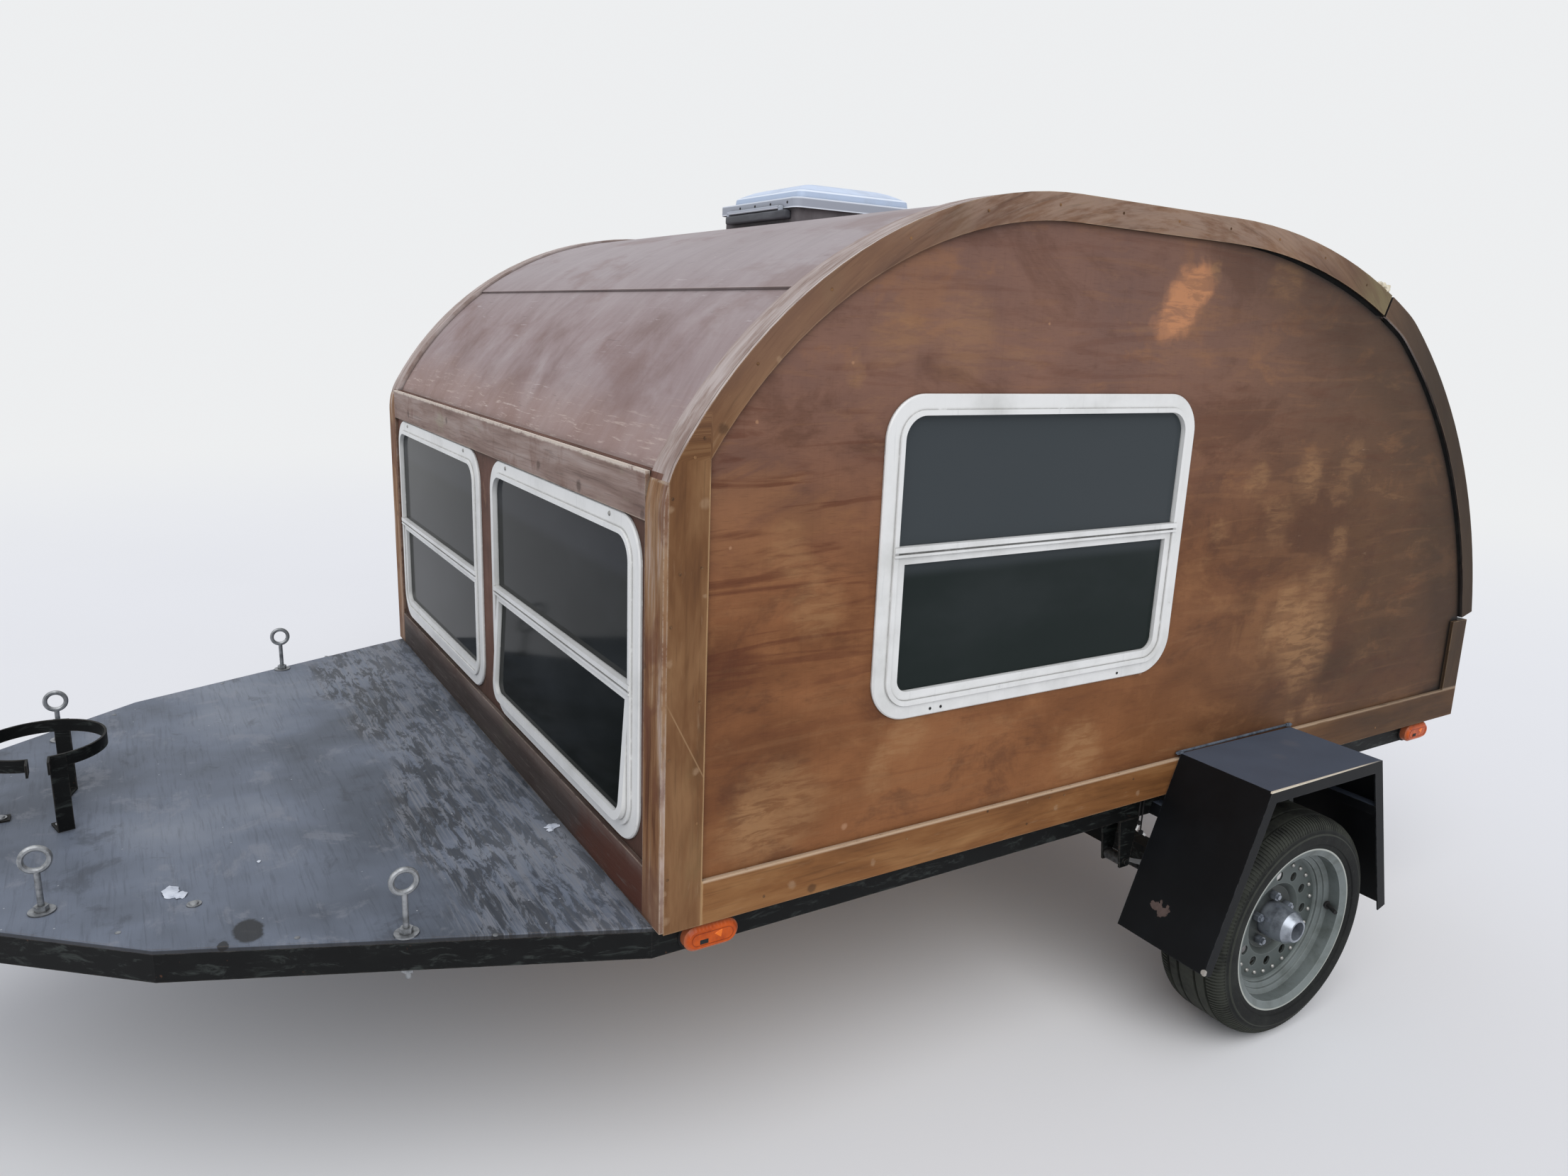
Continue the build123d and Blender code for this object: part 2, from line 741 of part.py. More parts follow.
roof_solid = across(cabin_face(top_skin_depth), -inner_y, inner_y)
curb = square(vent_base_size, vent_base_top - vent_curb_depth, vent_base_top)
curb -= square(vent_base_size - 2 * vent_base_wall, 0, far, 6.0)
skirt_bottom = vent_base_top - vent_skirt + vent_lid_gap
lid_top = vent_base_top + vent_lid_gap
vent_lid_inner = vent_lid_size - 2 * vent_wall
lid = square(vent_lid_size, skirt_bottom, lid_top, 20.0)
cavity = square(vent_lid_inner, skirt_bottom - 1, lid_top, 17.0)
level = lid_top
for inset, rise in vent_steps:
    side = vent_lid_size - 2 * inset
    outer_face = RectangleRounded(side, side, 20.0)
    inner_face = RectangleRounded(side - 2 * vent_wall - 4, side - 2 * vent_wall - 4, 17.0)
    lid += Pos(vent_centre_x, 0, level) * extrude(outer_face, amount=rise, taper=30)
    cavity += Pos(vent_centre_x, 0, level - vent_wall) * extrude(inner_face, amount=rise, taper=30)
    level += rise
vent_axis_x = vent_centre_x + vent_lid_size / 2 + vent_hinge_knuckle
vent_axis_z = skirt_bottom + 3.0
lid_knuckle = rod((vent_axis_x, -vent_hinge_length / 2, vent_axis_z), (0, 1, 0), vent_hinge_knuckle,
                  vent_hinge_length)
lid_web = block(vent_axis_x - vent_hinge_knuckle - 2, vent_axis_x, -vent_hinge_length / 2,
                vent_hinge_length / 2, vent_axis_z - 2, vent_axis_z + vent_hinge_knuckle)
vent_bore = rod((vent_axis_x, -vent_lid_size, vent_axis_z), (0, 1, 0), pin_radius + pin_clearance,
                2 * vent_lid_size)
save("vent_lid", lid - cavity + lid_knuckle + lid_web - vent_bore)

# The curb carries the lid's pin on two arms
arm_near = vent_hinge_length / 2 + knuckle_gap
arm_far = arm_near + vent_arm_width
vent_pin = rod((vent_axis_x, -arm_far, vent_axis_z), (0, 1, 0), pin_radius, 2 * arm_far)
vent_base = curb - roof_solid + vent_pin
arm_low = skirt_bottom - vent_arm_drop
for low in (arm_near, -arm_far):
    high = low + vent_arm_width
    vent_base += block(vent_centre_x + vent_base_size / 2 - 1, vent_axis_x + vent_arm_half, low, high,
                       arm_low, arm_low + vent_arm_thickness)
    vent_base += block(vent_axis_x - vent_arm_half, vent_axis_x + vent_arm_half, low, high, arm_low, vent_axis_z)
    vent_base += rod((vent_axis_x, low, vent_axis_z), (0, 1, 0), vent_arm_half + 0.5, vent_arm_width)
save("vent_base", vent_base)

# Frame: side rails, cross members, drawbar and the two bent arms under the deck's edges
rail = hollow_bar(frame_rear_x, 0, inner_y - tube, inner_y, frame_bottom, frame_top, "x")
save("rail_left", rail)
save("rail_right", mirrored(rail))
cross_half = inner_y - tube


def cross_member(front):
    return hollow_bar(front - tube, front, -cross_half, cross_half, frame_bottom, frame_top, "y")


save("cross_members", *[cross_member(x) for x in (0, *cross_positions, frame_rear_x + tube)])
drawbar_bottom = frame_top - drawbar_height
drawbar = hollow_bar(0, drawbar_length, -tube / 2, tube / 2, drawbar_bottom, frame_top, "x")
spine = hollow_bar(cross_positions[0], -tube, -tube / 2, tube / 2, drawbar_bottom, frame_top, "x")
save("drawbar", drawbar, spine)


def deck_edge(x, inset=0.0):
    """Half width of the deck at x."""
    if x <= deck_bend_x:
        slope = (inner_y - deck_bend_y) / deck_bend_x
        return inner_y - slope * x - inset * sqrt(1 + slope * slope)
    return deck_bend_y - arm_slope * (x - deck_bend_x) - inset * sqrt(1 + arm_slope * arm_slope)


def bend_x(inset):
    """x where the two straight runs of a line at this inset meet."""
    slope = (inner_y - deck_bend_y) / deck_bend_x
    gain = inset * (sqrt(1 + arm_slope ** 2) - sqrt(1 + slope ** 2)) / (arm_slope - slope)
    return deck_bend_x - gain


def reach(inset):
    """How far past the bend a line at this inset meets the drawbar's side."""
    return (deck_bend_y - tube / 2 - inset * sqrt(1 + arm_slope ** 2)) / arm_slope


def arm(outer, inner, low, high):
    """The bent arm between two insets from the deck's edge, from the front cross member to the drawbar."""
    points = []
    for inset in (outer, inner):
        side = [(0, deck_edge(0, inset)), (bend_x(inset), deck_edge(bend_x(inset), inset)),
                (deck_bend_x + reach(inset), tube / 2)]
        points += side if inset == outer else side[::-1]
    return plan(points, low, high)


left_arm = arm(0, tube, frame_bottom, frame_top)
left_arm -= arm(tube_wall, tube - tube_wall, frame_bottom + tube_wall, frame_top - tube_wall)
eye_places = [(x, side * (deck_edge(x) - inset), height)
              for x, inset, height in eye_spots for side in (-1, 1)]
eye_holes = [rod((x, y, ground), (0, 0, 1), eye_wire + fit_gap, far) for x, y, _ in eye_places]
save("deck_arms", left_arm - eye_holes, mirrored(left_arm) - eye_holes)
deck_line = [(front_face, inner_y), (0, inner_y), (deck_bend_x, deck_bend_y),
             (deck_front_x, deck_edge(deck_front_x))]
deck = plan(deck_line + [(x, -y) for x, y in deck_line[::-1]], frame_top, deck_top)
deck -= eye_holes
save("deck", deck)

# Coupler: a formed channel over the drawbar's end, a round head with the ball socket, and the latch on top
half_coupler = tube / 2 + coupler_wall
coupler_low = frame_top - coupler_depth
coupler_top = frame_top + coupler_wall
coupler = block(drawbar_length - coupler_back_reach, ball_x, -half_coupler, half_coupler,
                coupler_low, coupler_top)
coupler += rod((ball_x, 0, coupler_low), (0, 0, 1), coupler_head_radius, coupler_depth + coupler_wall)
coupler -= block(0, drawbar_length + fit_gap, -tube / 2, tube / 2, ground, frame_top)
socket_top = frame_top - coupler_wall
socket = rod((ball_x, 0, ground), (0, 0, 1), ball_socket_radius, socket_top - ground)
coupler -= socket
latch_bar = block(ball_x - latch_length, ball_x, -latch_half, latch_half,
                  coupler_top, coupler_top + latch_height)
latch_bar += rod((ball_x, 0, coupler_top), (0, 0, 1), latch_knob, latch_height)
save("coupler", coupler + latch_bar)

# Tongue jack: an outer tube on a bracket beside the drawbar, with a crank, and the inner tube with its foot
jack_y = -(half_coupler + jack_tube_radius)
bracket = block(jack_x - jack_plate, jack_x + jack_plate, -half_coupler, -tube / 2, drawbar_bottom, frame_top)
bracket += block(jack_x - jack_clasp, jack_x + jack_clasp, jack_y, -half_coupler,
                 drawbar_bottom + jack_clasp_inset, frame_top - jack_clasp_inset)
jack_tube = bracket + rod((jack_x, jack_y, jack_bottom), (0, 0, 1), jack_tube_radius, jack_top - jack_bottom)
jack_tube += rod((jack_x, jack_y, jack_top), (0, 0, 1), jack_tube_radius + 4, crank_neck)
jack_tube -= rod((jack_x, jack_y, ground), (0, 0, 1), jack_inner_radius + running_clearance,
                 jack_top - jack_cap - ground)
crank_z = jack_top + crank_neck + crank_lift
jack_tube += rod((jack_x, jack_y, jack_top + crank_neck), (0, 0, 1), crank_rod, crank_lift + crank_rod)
jack_tube += block(jack_x - crank_rod, jack_x + jack_crank, jack_y - crank_rod, jack_y + crank_rod,
                   crank_z, crank_z + crank_rod)
jack_tube += rod((jack_x + jack_crank - crank_rod, jack_y, crank_z), (0, 0, 1), crank_rod + 2, crank_grip)
save("jack_tube", jack_tube)
leg_top = jack_top - jack_cap - jack_clearance - jack_travel
jack_leg = rod((jack_x, jack_y, ground), (0, 0, 1), jack_inner_radius, leg_top - ground)
jack_leg += rod((jack_x, jack_y, ground), (0, 0, 1), jack_foot_radius, jack_foot_thickness)
jack_leg += rod((jack_x, jack_y, ground), (0, 0, 1), jack_inner_radius + 8, jack_foot_thickness + jack_collar)
save("jack_leg", jack_leg)

# Axle with spindles, leaf springs, hangers and clamps
hub_back = disc_y - disc_thickness - 45.0
axle_half = hub_back - 12.0
axle = block(wheel_x - axle_tube / 2, wheel_x + axle_tube / 2, -axle_half, axle_half,
             axle_z - axle_tube / 2, axle_z + axle_tube / 2)
spindle_end = disc_y + hub_nose - hub_mouth_depth + 6.0
spindle = rod((wheel_x, 0, axle_z), (0, 1, 0), spindle_radius, spindle_end)
save("axle", axle + spindle + mirrored(spindle))
spring_half = spring_span / 2
spring_radius = (spring_half ** 2 + spring_camber ** 2) / (2 * spring_camber)
spring_base = axle_z + axle_tube / 2 + seat_thickness
spring_centre_z = spring_base + leaf_count * leaf_thickness + spring_radius
spring_eye_z = spring_centre_z - (spring_radius + leaf_thickness / 2) * cos(asin(spring_half / spring_radius))


def on_spring(radius, angle):
    return Vector(wheel_x + radius * sin(angle), 0, spring_centre_z - radius * cos(angle))


def leaf_spring():
    """Leaves bent round one centre, stacked downwards, with rolled eyes on the longest."""
    stack = []
    for index in range(leaf_count):
        angle = asin((spring_half - index * leaf_step) / spring_radius)
        top, low = spring_radius + index * leaf_thickness, spring_radius + (index + 1) * leaf_thickness
        arcs = [ThreePointArc(on_spring(r, -angle), on_spring(r, 0), on_spring(r, angle)) for r in (top, low)]
        ends = [Line(on_spring(top, side * angle), on_spring(low, side * angle)) for side in (-1, 1)]
        stack.append(across(make_face(arcs + ends), spring_y - spring_width / 2, spring_y + spring_width / 2))
    spring = stack[0] + stack[1:]
    for x in (wheel_x - spring_half, wheel_x + spring_half):
        spring += rod((x, spring_y - spring_width / 2, spring_eye_z), (0, 1, 0), eye_radius, spring_width)
        spring -= rod((x, spring_y - spring_width, spring_eye_z), (0, 1, 0), spring_pin_radius,
                      2 * spring_width)
    return spring


spring_left = leaf_spring()
save("springs", spring_left, mirrored(spring_left))


def hanger(x):
    """Two cheek plates under the rail and the pin through the spring's eye."""
    inside = spring_width / 2 + 0.3
    outline = flat(((x - hanger_top_half, frame_bottom), (x + hanger_top_half, frame_bottom),
                    (x + eye_radius, spring_eye_z - eye_radius), (x - eye_radius, spring_eye_z - eye_radius)))
    body = block(x - hanger_top_half, x + hanger_top_half, spring_y - inside - 1, spring_y + inside + 1,
                 frame_bottom - hanger_plate, frame_bottom)
    body += across(outline, spring_y + inside, spring_y + inside + hanger_plate)
    body += across(outline, spring_y - inside - hanger_plate, spring_y - inside)
    pin_start = spring_y - inside - hanger_plate - 6
    return body + rod((x, pin_start, spring_eye_z), (0, 1, 0), spring_pin_radius - 0.3,
                      2 * (spring_y - pin_start))


hangers = [hanger(wheel_x + end * spring_half) for end in (-1, 1)]
save("spring_hangers", *(hangers + [mirrored(h) for h in hangers]))


def spring_clamp():
    """Plate below the axle and two bent rods over the spring, with the seat between axle and spring."""
    plate_top = axle_z - axle_tube / 2
    rod_x = axle_tube / 2 + clamp_rod_radius + 1.0
    rod_y = spring_width / 2 + clamp_rod_radius + 1.0
    bow_z = spring_base + leaf_count * leaf_thickness + clamp_rod_radius + 1.5
    body = block(wheel_x - rod_x - 15, wheel_x + rod_x + 15, spring_y - rod_y - 12, spring_y + rod_y + 12,
                 plate_top - clamp_plate, plate_top)
    for x in (wheel_x - rod_x, wheel_x + rod_x):
        for y in (spring_y - rod_y, spring_y + rod_y):
            body += rod((x, y, plate_top - 22), (0, 0, 1), clamp_rod_radius, bow_z - plate_top + 22)
        body += block(x - clamp_rod_radius, x + clamp_rod_radius, spring_y - rod_y - clamp_rod_radius,
                      spring_y + rod_y + clamp_rod_radius, bow_z - clamp_rod_radius, bow_z + clamp_rod_radius)
    seat = block(wheel_x - axle_tube / 2, wheel_x + axle_tube / 2, spring_y - spring_width / 2,
                 spring_y + spring_width / 2, axle_z + axle_tube / 2, spring_base)
    return body, seat


clamp_left, seat_left = spring_clamp()
save("spring_clamps", clamp_left, mirrored(clamp_left), seat_left, mirrored(seat_left))


# Wheels: pressed rim with a stepped barrel and a deep disc, hub and tyre

def turned(points):
    """A solid turned about the axle line. Columns: distance along Y, radius."""
    face = make_face(Polyline(*[Vector(0, y, r) for y, r in points], close=True))
    return Pos(wheel_x, 0, axle_z) * revolve(face, axis=Axis.Y)


def round_axle(count, radius, start):
    """Spots spread evenly on a circle about the axle line."""
    angles = [radians(start + index * 360 / count) for index in range(count)]
    return [(wheel_x + radius * cos(a), axle_z + radius * sin(a)) for a in angles]


bore = hub_radius + fit_gap
disc_ring = disc_setback - disc_step
disc_front = ((disc_ring, barrel_front[-1][1] - disc_bend), (disc_ring, disc_well_radius + disc_step),
              (disc_setback, disc_well_radius), (disc_setback, bore))
disc_back = ((disc_setback + disc_thickness, bore), (disc_setback + disc_thickness, disc_well_radius + 2),
             (disc_ring + disc_thickness, disc_well_radius + disc_step + 2),
             (disc_ring + disc_thickness, barrel_back[0][1]))
seats = ((rim_width, rim_flange_radius), (rim_width - 9, rim_seat_radius), (9, rim_seat_radius),
         (0, rim_flange_radius))
rim = turned([(rim_face_y - step, radius) for step, radius in
              barrel_front + disc_front + disc_back + barrel_back + seats])
studs = round_axle(lug_count, lug_circle_radius, 90)
for x, z in round_axle(disc_holes, disc_hole_circle, 90):
    rim -= rod((x, disc_y - cut_depth, z), (0, 1, 0), disc_hole_radius, 2 * cut_depth)
for x, z in studs:
    rim -= rod((x, disc_y - cut_depth, z), (0, 1, 0), stud_radius + fit_gap, 2 * cut_depth)
save("rim_left", rim)
save("rim_right", mirrored(rim))

hub_bore = spindle_radius + running_clearance
seat_y = disc_y - disc_thickness
nose_y = disc_y + hub_nose
hub = turned(((hub_back, hub_bore), (hub_back, hub_back_radius), (seat_y - hub_flange, hub_back_radius),
              (seat_y - hub_flange, hub_flange_radius), (seat_y, hub_flange_radius), (seat_y, hub_radius),
              (disc_y + hub_straight, hub_radius), (disc_y + hub_swell[0], hub_swell[1]),
              (nose_y, hub_mouth_radius + hub_mouth_wall), (nose_y, hub_mouth_radius),
              (nose_y - hub_mouth_depth, hub_mouth_radius), (nose_y - hub_mouth_depth, hub_bore)))
for x, z in studs:
    hub += rod((x, seat_y - 1, z), (0, 1, 0), stud_radius, disc_thickness + nut_height + 6)
    hub += Plane(origin=(x, disc_y, z), z_dir=(0, 1, 0)) * extrude(RegularPolygon(nut_radius, 6), nut_height)
save("hub_left", hub)
save("hub_right", mirrored(hub))


def tyre_profile():
    """Section, filled inside, its inner half mirrored. Columns: distance in from the outer face, radius."""
    half = ((bead_inset, rim_seat_radius + fit_gap), (0, tyre_radius - sidewall_drop),
            (shoulder, tyre_radius))
    mirror_half = [(tyre_width - step, radius) for step, radius in half[::-1]]
    return [(tyre_outer_y - step, radius) for step, radius in list(half) + mirror_half]


tyre = turned(tyre_profile())
save("tyre_left", tyre)
save("tyre_right", mirrored(tyre))


# Fenders: folded sheet with an angle lip, on two arms from the rail

def folds_inside(step):
    """The fender's fold line moved in towards the wheel by step."""
    lines = []
    for (x0, z0), (x1, z1) in zip(fender_folds, fender_folds[1:]):
        length = sqrt((x1 - x0) ** 2 + (z1 - z0) ** 2)
        shift_x, shift_z = -step * (z1 - z0) / length, step * (x1 - x0) / length
        lines.append(((x0 + shift_x, z0 + shift_z), (x1 + shift_x, z1 + shift_z)))
    points = [lines[0][0]]
    for (a, b), (c, d) in zip(lines, lines[1:]):
        cross = (b[0] - a[0]) * (d[1] - c[1]) - (b[1] - a[1]) * (d[0] - c[0])
        share = ((c[0] - a[0]) * (d[1] - c[1]) - (c[1] - a[1]) * (d[0] - c[0])) / cross
        points.append((a[0] + share * (b[0] - a[0]), a[1] + share * (b[1] - a[1])))
    return points + [lines[-1][1]]


def fender():
    outer, inner = list(fender_folds), folds_inside(fender_sheet)
    solid = across(flat(outer + inner[::-1]), half_width, fender_outer_y)
    lip = flat(outer + folds_inside(fender_lip)[::-1])
    solid += across(lip, fender_outer_y - fender_sheet, fender_outer_y)
    for (x0, z0), (x1, z1), side in ((inner[0], inner[1], -1), (inner[3], inner[2], 1)):
        arm_low, arm_high = fender_arm_z - fender_arm / 2, fender_arm_z + fender_arm / 2
        wall_low, wall_high = (x0 + (z - z0) / (z1 - z0) * (x1 - x0) for z in (arm_low, arm_high))
        arm = flat(((wall_low - side, arm_low), (wall_high - side, arm_high),
                    (wall_high + side * fender_arm, arm_high), (wall_low + side * fender_arm, arm_low)))
        solid += across(arm, inner_y, fender_outer_y - fender_sheet)
    return solid


fender_left = fender()
save("fender_left", fender_left)
save("fender_right", mirrored(fender_left))


# Lamps, eye bolts and the cylinder bracket

def oval_lamp(face, direction, proud, bevel):
    lens = extrude(face, amount=proud, dir=direction)
    outer = lens.faces().sort_by(Axis(origin=(0, 0, 0), direction=direction))[-1]
    return chamfer(outer.outer_wire().edges(), bevel)


frame_middle_z = (frame_top + frame_bottom) / 2
marker = oval_lamp(Plane.XZ * SlotOverall(marker_length, marker_height), (0, 1, 0), marker_proud, lamp_bevel)
markers = [Pos(x, inner_y, frame_middle_z) * marker for x in marker_spots]
save("marker_lamps", *(markers + [mirrored(lamp) for lamp in markers]))
tail_face = Plane.YZ * SlotOverall(tail_lamp_length, tube - 2 * lamp_inset)
tail_lamp = Pos(frame_rear_x, tail_lamp_y, frame_middle_z) * oval_lamp(tail_face, (-1, 0, 0), tail_lamp_proud,
                                                                     lamp_bevel)
save("tail_lamps", tail_lamp, mirrored(tail_lamp))


def eye_bolt(x, y, tube_height):
    """Loop of eight-sided wire on a shank through the deck, with a washer and a nut on it and a nut below."""
    under = frame_top - tube_height - eye_nut
    loop_z = deck_top + eye_height - eye_loop_radius - eye_wire
    section = Plane.XZ * Pos(eye_loop_radius, 0) * RegularPolygon(eye_wire, 8, rotation=22.5)
    loop = Pos(x, y, loop_z) * Rot(90, 0, 0) * revolve(section, axis=Axis.Z)
    shank = rod((x, y, under - 12), (0, 0, 1), eye_wire, loop_z - eye_loop_radius - under + 12)
    washer = rod((x, y, deck_top), (0, 0, 1), eye_washer_radius, washer_thickness)
    nut = extrude(RegularPolygon(nut_radius, 6), amount=eye_nut)
    top_nut = Pos(x, y, deck_top + washer_thickness) * nut
    return loop + shank + washer + top_nut + Pos(x, y, under) * nut


save("eye_bolts", *[eye_bolt(*place) for place in eye_places])


def cylinder_bracket():
    """A split strap ring on three flat legs, with two drilled clamp ears."""
    low = ring_top - ring_band
    ring = rod((0, 0, low), (0, 0, 1), ring_radius + ring_strap, ring_band)
    ring -= rod((0, 0, low - 1), (0, 0, 1), ring_radius, ring_band + 2)
    ring -= block(-ring_slit, ring_slit, 0, 2 * ring_radius, low - 1, ring_top + 1)
    ear_start = sqrt(ring_radius ** 2 - ring_slit ** 2)
    for near, far in ((-ring_slit - ring_strap, -ring_slit), (ring_slit, ring_slit + ring_strap)):
        ear = block(near, far, ear_start, ear_start + ring_ear, low, ring_top)
        ring += ear - rod((near - 1, ear_start + ring_ear * 0.6, low + ring_band / 2), (1, 0, 0),
                          ring_ear_hole, ring_strap + 2)
    half = ring_leg_width / 2
    for angle in ring_leg_angles:
        leg = block(ring_radius + 1, ring_radius + 1 + ring_strap, -half, half, deck_top, ring_top)
        leg += block(ring_radius + 1 - ring_foot, ring_radius + 1 + ring_strap, -half, half, deck_top,
                     deck_top + ring_strap)
        ring += Rot(0, 0, angle) * leg
    return Pos(ring_x, 0, 0) * ring


save("cylinder_bracket", cylinder_bracket())

# Where the moving pieces turn or slide, in the trailer's own frame
pivots = {
    "hatch": hinge_point,
    "door": Vector(door_axis_x, door_axis_y, 0),
    "vent lid": Vector(vent_axis_x, 0, vent_axis_z),
    "wheels": Vector(wheel_x, 0, axle_z),
    "jack": Vector(jack_x, jack_y, 0),
    "ball": Vector(ball_x, 0, frame_top),
}
for name, point in pivots.items():
    print(name, point + Vector(trailer_shift, 0, body_bottom))
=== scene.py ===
# Looks of the teardrop trailer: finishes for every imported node, and the small pieces that CAD leaves out.
# Lengths are in metres, in the trailer's frame: +X to the coupler, +Y to the trailer's left, +Z up.
from math import atan2, cos, pi, radians, sin

import bmesh
import bpy
from mathutils import Matrix, Vector, noise
from mathutils.bvhtree import BVHTree


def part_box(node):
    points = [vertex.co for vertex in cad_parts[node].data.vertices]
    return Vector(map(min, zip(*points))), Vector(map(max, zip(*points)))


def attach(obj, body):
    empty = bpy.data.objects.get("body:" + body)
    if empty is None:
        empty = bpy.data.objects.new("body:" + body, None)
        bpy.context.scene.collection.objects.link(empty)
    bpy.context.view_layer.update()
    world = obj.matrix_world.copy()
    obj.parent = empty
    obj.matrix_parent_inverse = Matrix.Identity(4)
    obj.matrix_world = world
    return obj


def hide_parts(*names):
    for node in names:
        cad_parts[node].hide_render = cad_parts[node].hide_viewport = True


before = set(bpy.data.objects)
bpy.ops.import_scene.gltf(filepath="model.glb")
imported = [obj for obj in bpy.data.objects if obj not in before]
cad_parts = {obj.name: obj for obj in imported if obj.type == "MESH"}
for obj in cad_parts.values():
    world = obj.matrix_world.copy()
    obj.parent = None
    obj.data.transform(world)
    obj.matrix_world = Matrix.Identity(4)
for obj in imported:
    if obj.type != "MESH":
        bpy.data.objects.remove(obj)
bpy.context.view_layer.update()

# Places on the trailer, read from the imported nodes
FRONT_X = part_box("front_boards")[1].x
BODY_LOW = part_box("side_boards_left")[0].z
SIDE_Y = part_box("side_boards_left")[1].y
PANEL_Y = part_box("side_panel_left")[1].y
TRIM = SIDE_Y - PANEL_Y
DECK_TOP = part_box("deck")[1].z
TYRE_LOW, TYRE_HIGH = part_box("tyre_left")
WHEEL_X = (TYRE_LOW.x + TYRE_HIGH.x) / 2
TYRE_RADIUS = (TYRE_HIGH.z - TYRE_LOW.z) / 2
AXLE_Z = (TYRE_LOW.z + TYRE_HIGH.z) / 2
TYRE_FACE_Y = TYRE_HIGH.y
TYRE_WIDTH = TYRE_HIGH.y - TYRE_LOW.y
HINGE_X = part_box("hatch")[1].x

FENDER_LOW, FENDER_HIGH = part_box("fender_left")
FENDER_SPOT = Vector((FRONT_X - 1.154, 1.040, 0.341))

POST_WIDTH = 0.078
RAIL_HEIGHT = 0.081
CORNER_WIDTH = 0.069
HEADER_HIGH = 0.764
LID_SKIRT = 0.024
LENS_FOOT_Y = 0.9240
# Middle of the arc that the grain of the arched boards follows
ARCH_X, ARCH_Z = -0.74, 0.75

AHEAD, LEFT, UP = (1, 0, 0), (0, 1, 0), (0, 0, 1)
SIDES = ((1, "left"), (-1, "right"))

# Wear on the left side, measured back from the front boards and up from the cabin's bottom edge.
# Columns: x, z, reach, strength
RUBBED_PLACES = (
    (-1.432, 1.121, 0.070, 0.6), (-1.194, 1.118, 0.030, 0.7), (-0.427, 0.979, 0.080, 0.4),
    (-0.568, 0.987, 0.100, 0.4), (-0.343, 0.928, 0.030, 0.5), (-0.230, 0.633, 0.060, 0.5),
    (-0.291, 0.523, 0.065, 0.6), (-0.272, 0.586, 0.045, 0.5), (-0.495, 0.273, 0.060, 0.7),
    (-0.445, 0.237, 0.040, 0.6), (-0.443, 0.193, 0.045, 0.5), (-0.959, 0.149, 0.085, 0.9),
    (-0.226, 0.178, 0.120, 0.75), (-0.155, 0.150, 0.090, 0.5), (-1.693, 0.297, 0.150, 0.9),
    (-1.716, 0.447, 0.080, 0.5), (-1.426, 0.702, 0.055, 0.6), (-1.612, 0.695, 0.070, 0.7),
    (-1.327, 0.595, 0.045, 0.5), (-1.738, 0.666, 0.060, 0.4), (-1.780, 0.736, 0.060, 0.4),
    (-1.523, 0.594, 0.070, 0.4), (-1.579, 0.361, 0.060, 0.5), (-1.688, 0.116, 0.035, 0.6),
    (-1.767, 0.130, 0.045, 0.6), (-1.600, 0.420, 0.060, 0.8), (-1.655, 0.345, 0.070, 0.9),
    (-1.540, 0.330, 0.050, 0.6), (-1.770, 0.540, 0.060, 0.5),
)
GLOWING_PLACES = ((-1.113, 1.066, 0.075, 1.0), (-1.070, 1.030, 0.055, 0.7), (-1.160, 1.100, 0.050, 0.8))
GRIMY_PLACES = ((-1.84, 0.213, 0.09, 0.30), (-2.15, 0.33, 0.45, 0.22))
SIDE_KNOTS = ((-0.098, 0.833, 0.012, 0.6), (-0.30, 0.012, 0.012, 0.7), (-1.31, 0.045, 0.012, 0.6))
# Columns: x, z, reach
CHIPPED_PLACES = (
    (-0.369, 0.113, 0.009), (-0.119, 0.646, 0.004), (-0.160, 0.842, 0.004), (-0.335, 0.935, 0.004),
    (-1.120, 0.300, 0.006), (-0.760, 1.010, 0.004),
)
FILLED_NAILS = (
    (-0.013, 0.471, 0.008), (-0.062, 0.282, 0.009), (-0.257, 0.030, 0.011), (-0.013, 0.024, 0.009),
    (-0.008, 0.077, 0.007), (-0.434, 0.030, 0.009), (-0.192, 0.937, 0.008), (-0.011, 0.714, 0.008),
    (-0.069, 0.720, 0.013), (-0.072, 0.574, 0.006), (-0.900, 0.040, 0.009), (-1.150, 0.022, 0.008),
)
# Columns: y, z, reach, strength
FRONT_KNOTS = (
    (0.381, 0.708, 0.014, 0.8), (0.597, 0.700, 0.015, 0.9), (-0.30, 0.73, 0.013, 0.8),
    (-0.71, 0.71, 0.014, 0.8), (0.873, 0.694, 0.010, 0.7), (0.884, 0.451, 0.009, 0.7),
    (-0.905, 0.40, 0.011, 0.7),
)


def body_point(x, y, z):
    """A point measured from the front boards' face and the cabin's bottom edge."""
    return Vector((FRONT_X + x, y, BODY_LOW + z))


def on_side(places, y=PANEL_Y):
    """Spots on the left side, from a table of x, z, reach and, where it isn't 1, strength."""
    return [(body_point(x, y, z), reach, *(strength or (1.0,))) for x, z, reach, *strength in places]


def linear(red, green, blue, alpha=1.0):
    """A colour given as it shows on a screen."""
    return tuple(c / 12.92 if c <= 0.04045 else ((c + 0.055) / 1.055) ** 2.4
                 for c in (red, green, blue)) + (alpha,)


# Shader building

